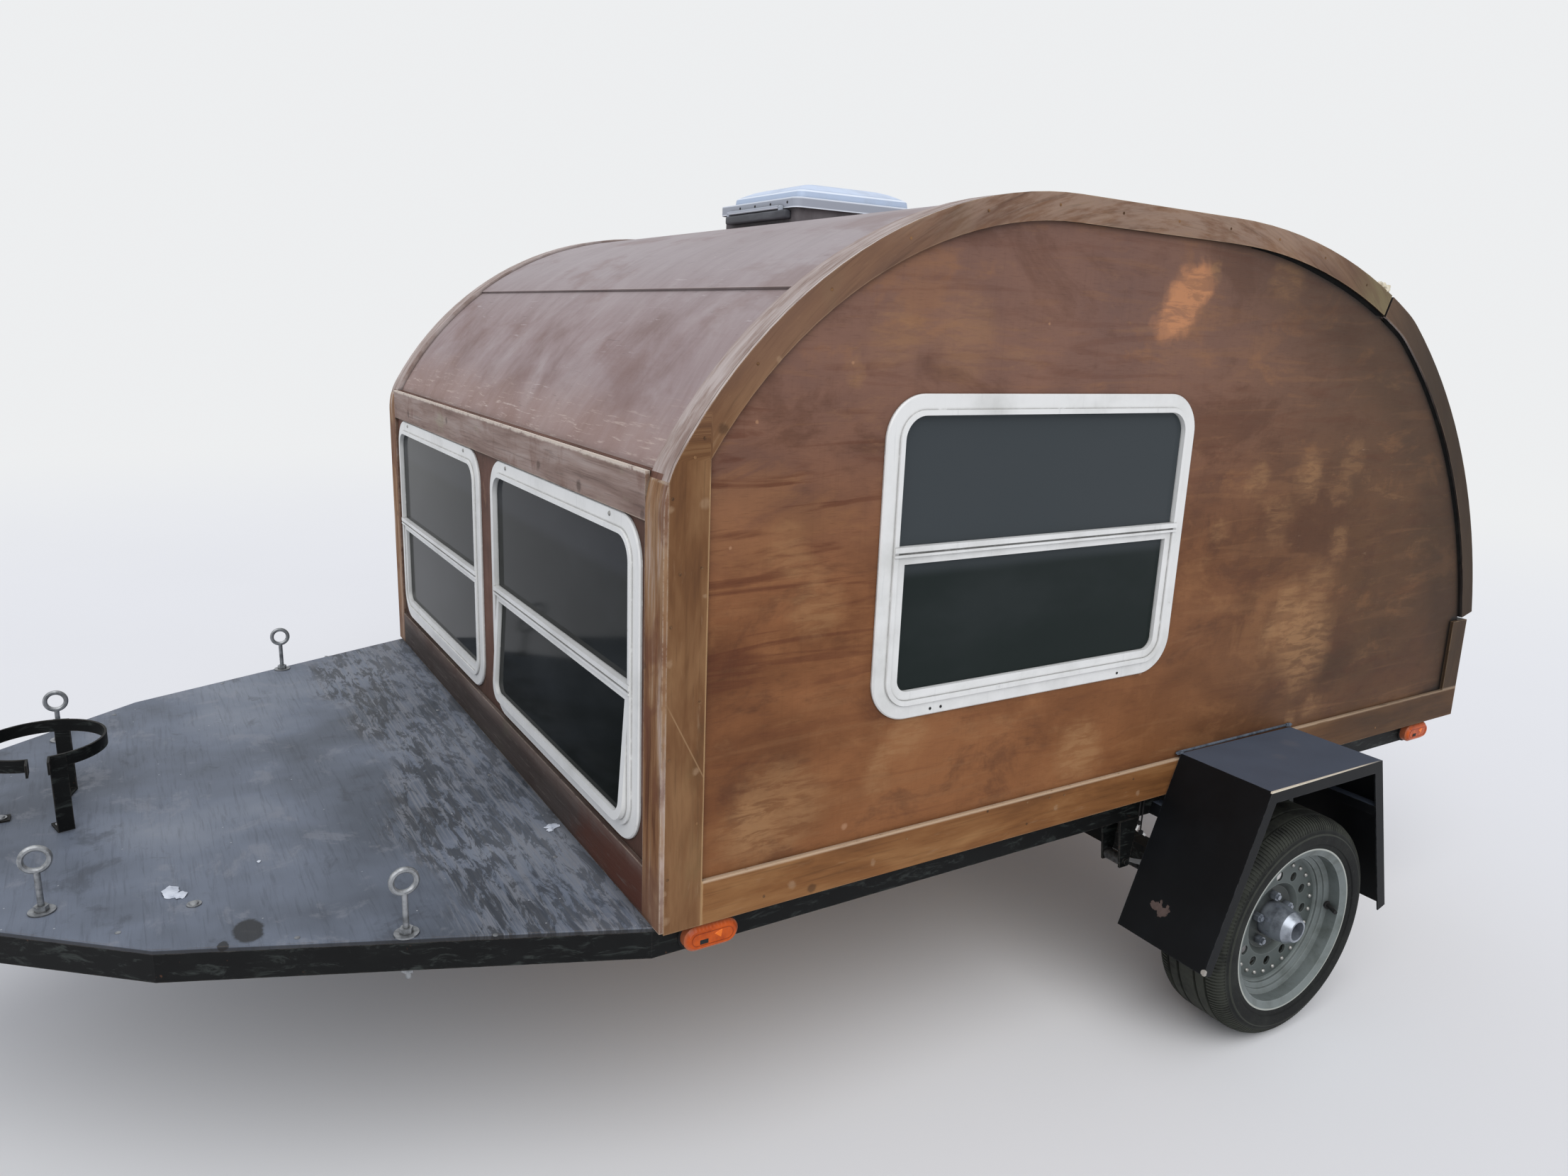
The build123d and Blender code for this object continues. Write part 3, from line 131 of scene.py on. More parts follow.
class Value:
    """A shader socket that takes part in sums."""

    def __init__(self, finish, socket):
        self.finish = finish
        self.socket = socket

    def maths(self, operation, *others, swap=False):
        operands = (*others, self) if swap else (self, *others)
        return self.finish.node("ShaderNodeMath", {"operation": operation}, dict(enumerate(operands)))

    def __add__(self, other):
        return self.maths("ADD", other)

    def __radd__(self, other):
        return self.maths("ADD", other)

    def __sub__(self, other):
        return self.maths("SUBTRACT", other)

    def __rsub__(self, other):
        return self.maths("SUBTRACT", other, swap=True)

    def __mul__(self, other):
        return self.maths("MULTIPLY", other)

    def __rmul__(self, other):
        return self.maths("MULTIPLY", other)

    def __truediv__(self, other):
        return self.maths("DIVIDE", other)

    def __pow__(self, other):
        return self.maths("POWER", other)

    def distance(self, other):
        """How far the value is from another one."""
        return (self - other).maths("ABSOLUTE")

    def rise(self, low, high):
        """0 below low, 1 above high and smooth between; a low above high turns it round."""
        values = {"Value": self, "From Min": low, "From Max": high}
        return self.finish.node("ShaderNodeMapRange", {"interpolation_type": "SMOOTHSTEP"}, values)

    def coat(self, factor, *color):
        """Lays a colour over this one where factor is high: three numbers, or one worked out already."""
        over = color[0] if isinstance(color[0], Value) else color
        self.socket = self.finish.mix(factor, self, over).socket

    def darken(self, factor, amount):
        self.coat(factor * amount, 0.0, 0.0, 0.0)


class Finish:
    """One material, or the world, and the nodes that make it."""

    def __init__(self, name, kind="materials"):
        self.material = getattr(bpy.data, kind).new(name)
        self.material.use_nodes = True
        self.tree = self.material.node_tree
        self.tree.nodes.clear()
        if kind == "materials":
            self.place = self.node("ShaderNodeTexCoord", {}, {}, "Object")
            self.x, self.y, self.z = self.split(self.place)

    def node(self, kind, settings, values, output=0):
        """Adds a node: its settings first, then numbers or links for its sockets."""
        made = self.tree.nodes.new(kind)
        for name, setting in settings.items():
            if name == "stops":
                self.set_stops(made.color_ramp, setting)
            else:
                setattr(made, name, setting)
        for name, value in values.items():
            if isinstance(value, Value):
                self.tree.links.new(value.socket, made.inputs[name])
            else:
                made.inputs[name].default_value = value
        return made if output is None else Value(self, made.outputs[output])

    @staticmethod
    def set_stops(ramp, stops):
        while len(ramp.elements) < len(stops):
            ramp.elements.new(1.0)
        for element, (position, color) in zip(ramp.elements, stops):
            element.position = position
            element.color = color

    def join(self, x, y, z):
        return self.node("ShaderNodeCombineXYZ", {}, {0: x, 1: y, 2: z})

    def split(self, vector):
        parts = self.node("ShaderNodeSeparateXYZ", {}, {"Vector": vector}, None)
        return [Value(self, parts.outputs[axis]) for axis in "XYZ"]

    def noise(self, scale, detail=4.0, rough=0.55, twist=0.0, shift=(0.0, 0.0, 0.0), turn=(0.0, 0.0, 0.0)):
        """Noise over the piece. Scale is one number, one for each axis, or a place worked out already."""
        place = self.place
        if isinstance(scale, tuple):
            values = {"Vector": place, "Scale": scale, "Location": shift, "Rotation": turn}
            place, scale = self.node("ShaderNodeMapping", {}, values), 1.0
        elif isinstance(scale, Value):
            place, scale = scale, 1.0
        values = {"Vector": place, "Scale": scale, "Detail": detail, "Roughness": rough,
                  "Distortion": twist}
        return self.node("ShaderNodeTexNoise", {}, values)

    def cells(self, scale):
        """Distance to the nearest of scattered points."""
        return self.node("ShaderNodeTexVoronoi", {}, {"Vector": self.place, "Scale": scale})

    def mix(self, factor, *colors):
        """A colour between two, each worked out already or given as it shows on a screen."""
        first, second = (color if isinstance(color, Value) else linear(*color) for color in colors)
        return self.node("ShaderNodeMix", {"data_type": "RGBA"}, {0: factor, 6: first, 7: second}, 2)

    def ramp(self, value, *stops):
        """A colour from stops. Each has a position and a colour as it shows on a screen."""
        stops = [(position, linear(*color)) for position, *color in stops]
        return self.node("ShaderNodeValToRGB", {"stops": stops}, {"Fac": value})

    def normal(self):
        """The parts of the surface's own direction."""
        return self.split(self.node("ShaderNodeNewGeometry", {}, {}, "Normal"))

    def sideways(self):
        """1 on faces that look to the left or right."""
        return self.normal()[1].maths("ABSOLUTE")

    def upper_edge(self):
        """1 on the edges of side panels and boards that form the roof's rim."""
        return self.sideways().rise(0.8, 0.6) * self.z.rise(1.20, 1.30) * self.normal()[2].rise(-0.05, 0.05)

    def warp(self, place, scale, amount):
        """A place pushed about by noise, so that what is drawn from it has ragged edges."""
        values = {"Vector": place, "Scale": scale, "Detail": 3.0, "Roughness": 0.65}
        push = self.node("ShaderNodeTexNoise", {}, values, "Color")
        push = self.node("ShaderNodeVectorMath", {"operation": "SUBTRACT"}, {0: push, 1: (0.5, 0.5, 0.5)})
        return self.node("ShaderNodeVectorMath", {"operation": "MULTIPLY_ADD"},
                         {0: push, 1: (amount, amount, amount), 2: place})

    def spots(self, place, spots):
        """Soft round marks. Each has a centre, a reach and a strength."""
        total = None
        for centre, reach, strength in spots:
            values = {0: place, 1: tuple(centre)}
            away = self.node("ShaderNodeVectorMath", {"operation": "DISTANCE"}, values, "Value")
            mark = away.rise(reach, reach * 0.35) * strength
            total = mark if total is None else total + mark
        return total.maths("MINIMUM", 1.0)

    def crevice(self, reach, light=0.92, deep=0.45, samples=6):
        """1 where surfaces meet in a corner, 0 in the open: the mask for painted shade in corners."""
        values = {"Distance": reach}
        return self.node("ShaderNodeAmbientOcclusion", {"samples": samples}, values, "AO").rise(light, deep)

    def edges(self, radius):
        """1 on edges sharper than a right angle or so, 0 on flat faces."""
        round_normal = self.node("ShaderNodeBevel", {"samples": 4}, {"Radius": radius})
        flat_normal = self.node("ShaderNodeNewGeometry", {}, {}, "Normal")
        match = self.node("ShaderNodeVectorMath", {"operation": "DOT_PRODUCT"},
                          {0: round_normal, 1: flat_normal}, "Value")
        return match.rise(0.995, 0.86)

    def reach_from(self, x, z):
        """Distance from a line across the trailer."""
        return ((self.x - x) * (self.x - x) + (self.z - z) * (self.z - z)).maths("SQRT")

    def surface(self, color, rough, relief=None, gloss=0.5, **others):
        """Ends the material in one Principled shader. Relief is a height, a strength and a depth."""
        values = {"Base Color": color, "Roughness": rough, "Specular IOR Level": gloss, **others}
        if relief:
            values["Normal"] = self.node("ShaderNodeBump", {},
                                         dict(zip(("Height", "Strength", "Distance"), relief)))
        shader = self.node("ShaderNodeBsdfPrincipled", {}, values)
        self.node("ShaderNodeOutputMaterial", {}, {"Surface": shader}, None)
        return self.material


# Finishes

def figured(f, along, up, thick):
    """Stain on ply. Gives its cloud of light and dark, and the wavy lines of the grain."""
    wide = f.noise(f.join(along * 1.6, thick, up * 2.6), 3.0, 0.5)
    cloud = f.noise(f.join(along * 6.0, thick, up * 10.0), 5.0, 0.6, 0.25)
    lines = f.noise(f.join(along * 2.4, thick, up * 26.0), 5.0, 0.55, 1.3)
    return wide * 0.55 + cloud * 0.45, lines


def stained_ply():
    """Side panels: red brown stain on rotary cut ply, cloudy, rubbed pale in places, dirty to the rear."""
    f = Finish("stained_ply")
    along, up = f.x - FRONT_X, f.z - BODY_LOW
    tone, lines = figured(f, along, up, f.y * 3.0)
    color = f.ramp(tone, (0.36, 0.335, 0.20, 0.125), (0.48, 0.455, 0.29, 0.18), (0.60, 0.545, 0.36, 0.23))
    # Orange low down, purple brown at the top, olive brown towards the rear
    color.coat(up.rise(0.55, 0.05) * along.rise(-1.9, -0.9) * 0.42, 0.53, 0.345, 0.20)
    color.coat(up.rise(0.50, 1.00) * 0.66, 0.475, 0.375, 0.345)
    color.coat(along.rise(-0.85, -1.95) * 0.74, 0.325, 0.235, 0.155)
    # Stain that took darker in soft blotches, and the figure's wavy bands, reddish ahead of the window
    blotch = f.noise(f.join(along * 3.4, f.y * 3.0, up * 6.5), 6.0, 0.68, 0.5)
    color.coat(blotch.rise(0.50, 0.64) * (0.50 - up.rise(0.70, 1.05) * 0.18), 0.30, 0.185, 0.13)
    color.coat(blotch.rise(0.47, 0.36) * 0.28, 0.60, 0.42, 0.27)
    bands = lines.rise(0.54, 0.66)
    ahead = along.rise(-0.62, -0.20) * up.rise(0.30, 0.52) * up.rise(0.98, 0.72)
    color.coat(bands * (0.20 + ahead * 0.45), 0.34, 0.18, 0.115)
    color.coat(lines.rise(0.45, 0.34) * 0.20, 0.56, 0.40, 0.27)
    pores = f.noise((34.0, 34.0, 520.0), 3.0, 0.6)
    color.darken(pores.rise(0.52, 0.72), 0.16)
    brushed = f.noise((210.0, 60.0, 9.0), 3.0, 0.6)
    color.darken(brushed.rise(0.50, 0.80), 0.07)
    # Pale places where the stain is rubbed off along the grain
    ragged = f.warp(f.warp(f.place, 9.0, 0.075), 42.0, 0.035)
    rubbed = f.spots(ragged, on_side(RUBBED_PLACES))
    mottle = f.noise((13.0, 20.0, 62.0), 5.0, 0.68, 0.5)
    rubbed = rubbed * (0.30 + mottle.rise(0.40, 0.58) * 0.70)
    elsewhere = f.noise((5.0, 5.0, 12.0), 6.0, 0.70, 0.4).rise(0.56, 0.72)
    elsewhere = elsewhere * mottle.rise(0.40, 0.56) * (0.24 + f.y.rise(0.7, 0.2) * 0.30)
    color.coat((rubbed * 0.68 + elsewhere).maths("MINIMUM", 1.0), 0.63, 0.475, 0.325)
    glow = f.spots(ragged, on_side(GLOWING_PLACES))
    color.coat(glow * (0.45 + mottle.rise(0.40, 0.56) * 0.50), 0.73, 0.51, 0.36)
    color.coat(f.spots(f.warp(f.place, 90.0, 0.006), on_side(CHIPPED_PLACES)) * 0.7, 0.66, 0.50, 0.38)
    # Small scratches that lie along the trailer, behind the window
    scuffs = f.noise((18.0, 18.0, 130.0), 5.0, 0.7)
    behind = along.rise(-1.20, -1.45) * up.rise(0.25, 0.40) * up.rise(0.90, 0.75)
    color.coat(scuffs.rise(0.645, 0.72) * behind * 0.5, 0.66, 0.55, 0.44)
    # Old dirt low at the rear; dirt and painted shade under the arch; painted shade where boards meet the
    # panel
    grime_and_shade = f.spots(f.warp(f.place, 9.0, 0.12), on_side(GRIMY_PLACES))
    across, rise = (along + 1.04) / 1.30, (up - 0.04) / 1.10
    smear = f.noise(5.0, 4.0, 0.6)
    arch = (across * across + rise * rise + (smear - 0.5) * 0.20).rise(0.80, 1.02)
    grime_and_shade = grime_and_shade + arch * along.rise(-0.9, -1.7) * 0.40 + f.crevice(0.022) * 0.45
    color.coat(grime_and_shade.maths("MINIMUM", 1.0), 0.185, 0.135, 0.09)
    # Painted shadow, nearly black, along the foot of the arched board towards the rear
    foot = f.crevice(0.06, 0.995, 0.92, 12) * along.rise(-1.10, -1.60) * arch
    color.coat(foot * 0.92, 0.06, 0.055, 0.05)
    color.coat(f.upper_edge(), rim_face(f)[0])
    relief = lines * 0.4 + pores * 0.3 + tone * 0.4
    return f.surface(color, 0.46 + mottle * 0.16, (relief, 0.22, 0.0015), gloss=0.16)


def board_face(f):
    """Grain and stain of the proud boards: up the posts, along the rail and round the arch."""
    angle = (f.z - ARCH_Z).maths("ARCTAN2", f.x - ARCH_X)
    reach = f.reach_from(ARCH_X, ARCH_Z)
    post_x = FRONT_X - POST_WIDTH
    rail_z = BODY_LOW + RAIL_HEIGHT
    post = f.x.rise(post_x - 0.002, post_x + 0.002) * f.z.rise(1.42, 1.34)
    rail = f.z.rise(rail_z + 0.002, rail_z - 0.002) * (1 - post)
    arch = (1 - post) * (1 - rail)
    along = post * f.z + rail * f.x + arch * angle
    beside = post * f.x + rail * f.z + arch * reach
    grain = f.noise(f.join(along * 6.0, beside * 170.0, f.y * 60.0), 4.0, 0.6, 0.4)
    wide = f.noise(f.join(along * 3.6, beside * 17.0, f.y * 9.0), 4.0, 0.62, 0.3)
    wear = f.noise(f.join(along * 10.0, beside * 55.0, f.y * 30.0), 5.0, 0.7)
    brown = f.ramp(wide, (0.30, 0.335, 0.22, 0.14), (0.48, 0.43, 0.295, 0.185), (0.68, 0.52, 0.385, 0.26))
    tan = f.ramp(wide, (0.30, 0.39, 0.25, 0.14), (0.50, 0.495, 0.33, 0.19), (0.70, 0.575, 0.415, 0.26))
    color = f.mix(rail, brown, tan)
    mould = f.noise((9.0, 9.0, 4.0), 4.0, 0.6, shift=(2.0, 0.0, 0.0))
    color.coat(mould.rise(0.54, 0.68) * (post + arch * 0.6) * 0.4, 0.42, 0.355, 0.235)
    # The arch is a little purple at the front, worn pale on top and dark with dirt behind
    color.coat(arch * f.z.rise(1.30, 1.55) * 0.35, 0.53, 0.43, 0.38)
    color.coat(arch * f.z.rise(1.66, 1.78) * wear.rise(0.35, 0.60) * 0.45, 0.66, 0.58, 0.52)
    color.darken(grain.rise(0.50, 0.74), 0.26)
    color.coat(wear.rise(0.60, 0.76) * 0.35, 0.60, 0.49, 0.38)
    color.coat(f.x.rise(-1.05, -1.75) * (0.80 - rail * 0.12), 0.185, 0.16, 0.13)
    return color, grain, wear, post


def stained_board():
    """Proud boards: olive brown, worn pale along their edges, with knots and filled nails."""
    f = Finish("stained_board")
    color, grain, wear, post = board_face(f)
    post_x = FRONT_X - POST_WIDTH
    rail_z = BODY_LOW + RAIL_HEIGHT
    # Painted highlight along the rail's rounded top edge, broken up by wear
    lip = f.z.distance(rail_z).rise(0.0065, 0.001) * (1 - post)
    post_edge = f.x.distance(post_x).rise(0.0035, 0.0008) * f.z.rise(1.34, 1.30)
    color.coat(lip * wear.rise(0.24, 0.44) * (0.85 - f.x.rise(-1.2, -1.9) * 0.5), 0.80, 0.70, 0.59)
    color.coat(post_edge * wear.rise(0.34, 0.56) * 0.75, 0.74, 0.60, 0.43)
    marks = f.warp(f.place, 60.0, 0.012)
    knots = f.spots(marks, on_side(SIDE_KNOTS, SIDE_Y))
    color.coat(knots * 0.75, 0.16, 0.115, 0.09)
    color.coat(f.spots(marks, on_side(FILLED_NAILS, SIDE_Y)) * wear.rise(0.25, 0.5) * 0.5, 0.62, 0.51, 0.40)
    # One long slanting scratch on the front post
    slant = ((f.x - FRONT_X + 0.022) * 0.893 + (f.z - BODY_LOW - 0.377) * -0.451).maths("ABSOLUTE")
    scratch = slant.rise(0.0016, 0.0006) * post * f.z.rise(0.80, 0.84) * f.z.rise(0.97, 0.93)
    color.coat(scratch * 0.6, 0.62, 0.50, 0.37)
    color.coat(f.upper_edge(), rim_face(f)[0])
    # The end grain at the hatch's hinge is painted near black for the shade in the gap, and the face ahead
    # of it pale and greenish
    color.coat(f.normal()[2].rise(-0.10, -0.25) * f.z.rise(1.50, 1.55) * 0.9, 0.05, 0.045, 0.04)
    greened = f.x.rise(HINGE_X + 0.17, HINGE_X + 0.04) * f.z.rise(1.55, 1.60) * f.sideways().rise(0.6, 0.8)
    color.coat(greened * (0.35 + wear.rise(0.35, 0.6) * 0.35), 0.49, 0.45, 0.33)
    color.coat(f.edges(0.004) * wear.rise(0.35, 0.6) * 0.45, 0.70, 0.60, 0.48)
    # Painted shade in the corners
    color.coat(f.crevice(0.012) * 0.5, 0.15, 0.12, 0.10)
    return f.surface(color, 0.5 + wear * 0.2, (grain + wear * 0.6, 0.35, 0.0012), gloss=0.16)


def front_ply():
    """Front wall behind the windows: the side's stain, darker, rubbed bare low down."""
    f = Finish("front_ply")
    grain = f.noise((60.0, 130.0, 6.0), 4.0, 0.6, 0.4)
    broad = f.noise((4.0, 4.0, 6.0), 4.0, 0.6)
    color = f.ramp(broad, (0.30, 0.30, 0.205, 0.165), (0.5, 0.385, 0.265, 0.22), (0.72, 0.46, 0.335, 0.285))
    color.darken(grain.rise(0.5, 0.72), 0.28)
    bare = f.noise((20.0, 30.0, 16.0), 5.0, 0.7)
    color.coat(bare.rise(0.58, 0.72) * 0.40, 0.58, 0.46, 0.38)
    low = f.z.rise(BODY_LOW + 0.24, BODY_LOW + 0.12)
    color.coat(low * 0.5, 0.21, 0.17, 0.15)
    # Painted shade in the corners
    color.coat(f.crevice(0.02) * 0.6, 0.12, 0.10, 0.09)
    return f.surface(color, 0.5 + bare * 0.25, (grain + bare * 0.5, 0.35, 0.0012), gloss=0.16)


def front_boards():
    """Corner posts, header and sill of the front wall: weathered pale, brown stained, black at the deck."""
    f = Finish("front_boards")
    inner = SIDE_Y - CORNER_WIDTH
    side = f.y.maths("ABSOLUTE")
    post = side.rise(inner - 0.0015, inner + 0.0015)
    level = 1 - post
    along = post * f.z + level * f.y
    beside = post * f.y + level * f.z
    grain = f.noise(f.join(along * 5.5, beside * 170.0, f.x * 50.0), 5.0, 0.65, 0.5)
    wide = f.noise(f.join(along * 3.0, beside * 34.0, f.x * 9.0), 5.0, 0.62, 0.3)
    weathered = f.ramp(wide, (0.34, 0.36, 0.225, 0.15), (0.45, 0.50, 0.355, 0.24),
                       (0.55, 0.585, 0.46, 0.345), (0.66, 0.70, 0.62, 0.575))
    brown = f.ramp(wide, (0.34, 0.48, 0.395, 0.36), (0.50, 0.575, 0.495, 0.46), (0.66, 0.65, 0.585, 0.555))
    color = f.mix(level, weathered, brown)
    # Red brown stain is left in patches, and old mould is grey green
    stain = f.noise((5.0, 8.0, 6.0), 5.0, 0.62, 0.3)
    color.coat(stain.rise(0.50, 0.62) * (0.38 + post * 0.27), 0.40, 0.25, 0.185)
    mould = f.noise((7.0, 5.0, 9.0), 4.0, 0.6, shift=(0.0, 0.6, 0.2))
    color.coat(mould.rise(0.54, 0.66) * level * 0.55, 0.60, 0.565, 0.49)
    color.darken(grain.rise(0.50, 0.72), 0.34)
    knots = [(body_point(0.0, y, z), reach, strength) for y, z, reach, strength in FRONT_KNOTS]
    knots = f.spots(f.warp(f.place, 55.0, 0.014), knots)
    color.coat(knots * 0.65, 0.21, 0.155, 0.13)
    low = f.z.rise(BODY_LOW + 0.15, BODY_LOW + 0.05)
    color.coat(low * level * 0.90, 0.165, 0.15, 0.145)
    # The sill keeps its red brown stain under the near window
    color.coat(low * level * (f.y + (stain - 0.5) * 0.5).rise(0.50, 0.72) * 0.75, 0.34, 0.19, 0.14)
    streak = f.noise(f.join(f.x * 10.0, f.y * 8.0, f.z * 130.0), 4.0, 0.65)
    color.coat(low * level * streak.rise(0.56, 0.68) * 0.55, 0.40, 0.37, 0.35)
    color.coat(low * post * 0.45, 0.44, 0.34, 0.285)
    # The header's top edge is chipped to bare pale wood
    chips = f.noise((30.0, 26.0, 60.0), 4.0, 0.7)
    top_line = (f.z + (chips - 0.5) * 0.008).distance(BODY_LOW + HEADER_HIGH).rise(0.0075, 0.002) * level
    color.coat(top_line * chips.rise(0.30, 0.48), 0.83, 0.78, 0.73)
    color.coat(f.edges(0.004) * chips.rise(0.35, 0.55) * 0.6, 0.76, 0.70, 0.63)
    # Painted shade in the corners
    color.coat(f.crevice(0.014) * 0.6, 0.14, 0.115, 0.10)
    return f.surface(color, 0.58 + grain * 0.2, (grain + wide * 0.4, 0.5, 0.0015), gloss=0.15)


def roof_skin(f):
    """Brown ply weathered to grey purple, brushed along the slope, with short checks across it."""
    brushed = f.noise((3.0, 42.0, 3.0), 5.0, 0.62, 0.8)
    broad = f.noise((3.6, 4.4, 3.6), 6.0, 0.66, 0.5)
    color = f.ramp(broad, (0.34, 0.505, 0.425, 0.41), (0.50, 0.575, 0.505, 0.50),
                   (0.66, 0.635, 0.58, 0.575))
    color.coat(f.z.rise(1.50, 1.70) * 0.66, 0.665, 0.635, 0.64)
    color.coat(brushed.rise(0.50, 0.70) * 0.09, 0.67, 0.64, 0.65)
    color.darken(brushed.rise(0.48, 0.36), 0.06)
    stain = f.noise((7.0, 3.0, 7.0), 5.0, 0.62, 0.3, shift=(3.0, 1.0, 0.0))
    color.coat(stain.rise(0.50, 0.66) * 0.36, 0.46, 0.345, 0.31)
    # Warm rubbed strip above the header, with fine scratches across the trailer
    low = (f.z + (stain - 0.5) * 0.16).rise(BODY_LOW + HEADER_HIGH + 0.13, BODY_LOW + HEADER_HIGH + 0.02)
    scratches = f.noise((150.0, 11.0, 150.0), 5.0, 0.7, 0.3)
    color.coat(low * 0.38, 0.60, 0.48, 0.42)
    color.coat(low * scratches.rise(0.55, 0.66) * 0.65, 0.76, 0.69, 0.65)
    zone = f.noise((4.0, 3.0, 4.0), 3.0, 0.5, shift=(1.3, 0.4, 0.0)).rise(0.50, 0.62)
    color.coat(zone * scratches.rise(0.615, 0.69) * 0.6, 0.74, 0.70, 0.70)
    color.darken(zone * scratches.rise(0.38, 0.32), 0.35)
    return color, brushed, scratches


def roof_ply():
    """Roof skins."""
    f = Finish("roof_ply")
    color, brushed, scratches = roof_skin(f)
    color.coat(f.edges(0.005) * 0.5, 0.72, 0.65, 0.61)
    # Painted shade in the corners
    color.coat(f.crevice(0.014) * 0.65, 0.16, 0.12, 0.11)
    return f.surface(color, 0.50 + scratches * 0.2, (brushed * 0.5 + scratches, 0.35, 0.0012), gloss=0.22)


def rim_face(f):
    """Edges of the side panels and boards, seen from above: pale, worn and streaked along the slope."""
    streaks = f.noise((4.5, 190.0, 4.5), 5.0, 0.65, 0.5)
    wear = f.noise((9.0, 55.0, 9.0), 5.0, 0.65, 0.4, shift=(0.0, 0.3, 0.0))
    color = f.ramp(wear, (0.34, 0.53, 0.45, 0.415), (0.48, 0.63, 0.565, 0.535), (0.62, 0.72, 0.67, 0.65))
    color.darken(streaks.rise(0.54, 0.70), 0.22)
    side = f.y.maths("ABSOLUTE")
    color.coat(side.rise(SIDE_Y - 0.016, SIDE_Y - 0.004) * wear.rise(0.36, 0.55) * 0.7, 0.79, 0.74, 0.71)
    color.coat(side.distance(PANEL_Y).rise(0.0016, 0.0006) * 0.75, 0.20, 0.15, 0.13)
    return color, streaks


def rim_board():
    """Rim strips along the roof skins."""
    f = Finish("rim_board")
    color, streaks = rim_face(f)
    # Painted shade in the corners
    color.coat(f.crevice(0.010) * 0.6, 0.16, 0.12, 0.11)
    return f.surface(color, 0.55 + streaks * 0.2, (streaks, 0.45, 0.0012), gloss=0.25)


def hatch_shell():
    """Hatch: roof skin between two rims, and the proud board on each side."""
    f = Finish("hatch_shell")
    skin, brushed, _ = roof_skin(f)
    edge, streaks = rim_face(f)
    board, _, wear, _ = board_face(f)
    color = f.mix(f.y.maths("ABSOLUTE").rise(SIDE_Y - CORNER_WIDTH - 0.001, SIDE_Y - CORNER_WIDTH + 0.001),
                  skin, edge)
    dirt = f.noise(4.0, 5.0, 0.6)
    color.coat(f.z.rise(1.55, 1.05) * dirt.rise(0.30, 0.60) * 0.5, 0.33, 0.27, 0.245)
    board.coat(f.x.rise(-1.45, -1.75) * 0.35, 0.13, 0.105, 0.08)
    color.coat(f.sideways().rise(0.6, 0.8), board)
    color.coat(f.edges(0.004) * wear.rise(0.40, 0.62) * 0.45, 0.66, 0.57, 0.49)
    # Painted shade in the corners, and near black on the faces that look ahead into the hinge's gap
    color.coat(f.crevice(0.014) * 0.6, 0.13, 0.10, 0.09)
    color.coat(f.normal()[0].rise(0.5, 0.8) * 0.9, 0.05, 0.045, 0.04)
    relief = (brushed * 0.5 + streaks * 0.5, 0.35, 0.0012)
    return f.surface(color, 0.52 + wear * 0.2, relief, gloss=0.20)


def deck_ply():
    """Front deck: black stained ply, greyed by wear, flaking beside the wall, with an oval stain."""
    f = Finish("deck_ply")
    ahead = f.x - FRONT_X
    broad = f.noise((2.2, 2.2, 2.2), 4.0, 0.55)
    grain = f.noise((150.0, 9.0, 60.0), 5.0, 0.65, 0.5)
    color = f.ramp(broad, (0.34, 0.325, 0.35, 0.39), (0.50, 0.425, 0.455, 0.505),
                   (0.64, 0.50, 0.525, 0.565))
    color.darken(grain.rise(0.48, 0.70), 0.22)
    # Scuffs and spilt water left soft darker and paler places
    blot = f.noise((9.0, 7.0, 4.0), 6.0, 0.70, 0.4, shift=(0.7, 0.2, 0.0))
    color.coat(blot.rise(0.56, 0.68) * 0.42, 0.21, 0.22, 0.24)
    color.coat(blot.rise(0.45, 0.36) * 0.35, 0.54, 0.55, 0.575)
    # Beside the wall the stain is worn off along the grain, and what is left lies in dark ragged islands
    flake = f.noise((44.0, 10.0, 10.0), 8.0, 0.74, 0.5, turn=(0.0, 0.0, 0.12))
    reach = f.noise((5.0, 3.0, 3.0), 4.0, 0.55, shift=(0.4, 0.0, 0.0))
    belt = (ahead + (reach - 0.5) * 0.55).rise(0.34, 0.22)
    close = (ahead + (reach - 0.5) * 0.30).rise(0.17, 0.06)
    threads = f.noise((230.0, 5.0, 20.0), 4.0, 0.6, 0.3)
    color.coat(belt * threads.rise(0.44, 0.60) * 0.55, 0.52, 0.525, 0.54)
    islands = flake.rise(0.475, 0.545) * (1 - close * 0.25)
    color.coat(belt * islands * 0.72, 0.15, 0.16, 0.175)
    color.coat(close * flake.rise(0.48, 0.36) * 0.40, 0.48, 0.485, 0.50)
    ragged = f.warp(f.place, 45.0, 0.013)
    oval = f.node("ShaderNodeVectorMath", {"operation": "MULTIPLY"}, {0: ragged, 1: (1.0, 0.62, 1.0)})
    blots = ((0.580, 0.633, 0.031), (0.620, 0.662, 0.012))
    stains = f.spots(oval, [((FRONT_X + x, y * 0.62, DECK_TOP), reach, 1.0) for x, y, reach in blots])
    color.coat(stains.rise(0.15, 0.55) * 0.85, 0.125, 0.125, 0.12)
    dots = f.cells(30.0)
    color.coat(dots.rise(0.055, 0.03) * blot.rise(0.47, 0.53) * 0.8, 0.70, 0.71, 0.72)
    # The sawn edge is brown and ragged, dark below
    color.coat(f.edges(0.003) * flake.rise(0.35, 0.6) * 0.6, 0.36, 0.32, 0.28)
    color.coat(f.z.rise(DECK_TOP - 0.001, DECK_TOP - 0.004) * 0.8, 0.11, 0.10, 0.09)
    # Painted shade in the corners
    color.coat(f.crevice(0.03) * 0.6, 0.10, 0.10, 0.10)
    return f.surface(color, 0.46 + broad * 0.2, (grain + flake * 0.5, 0.35, 0.0012), gloss=0.25)


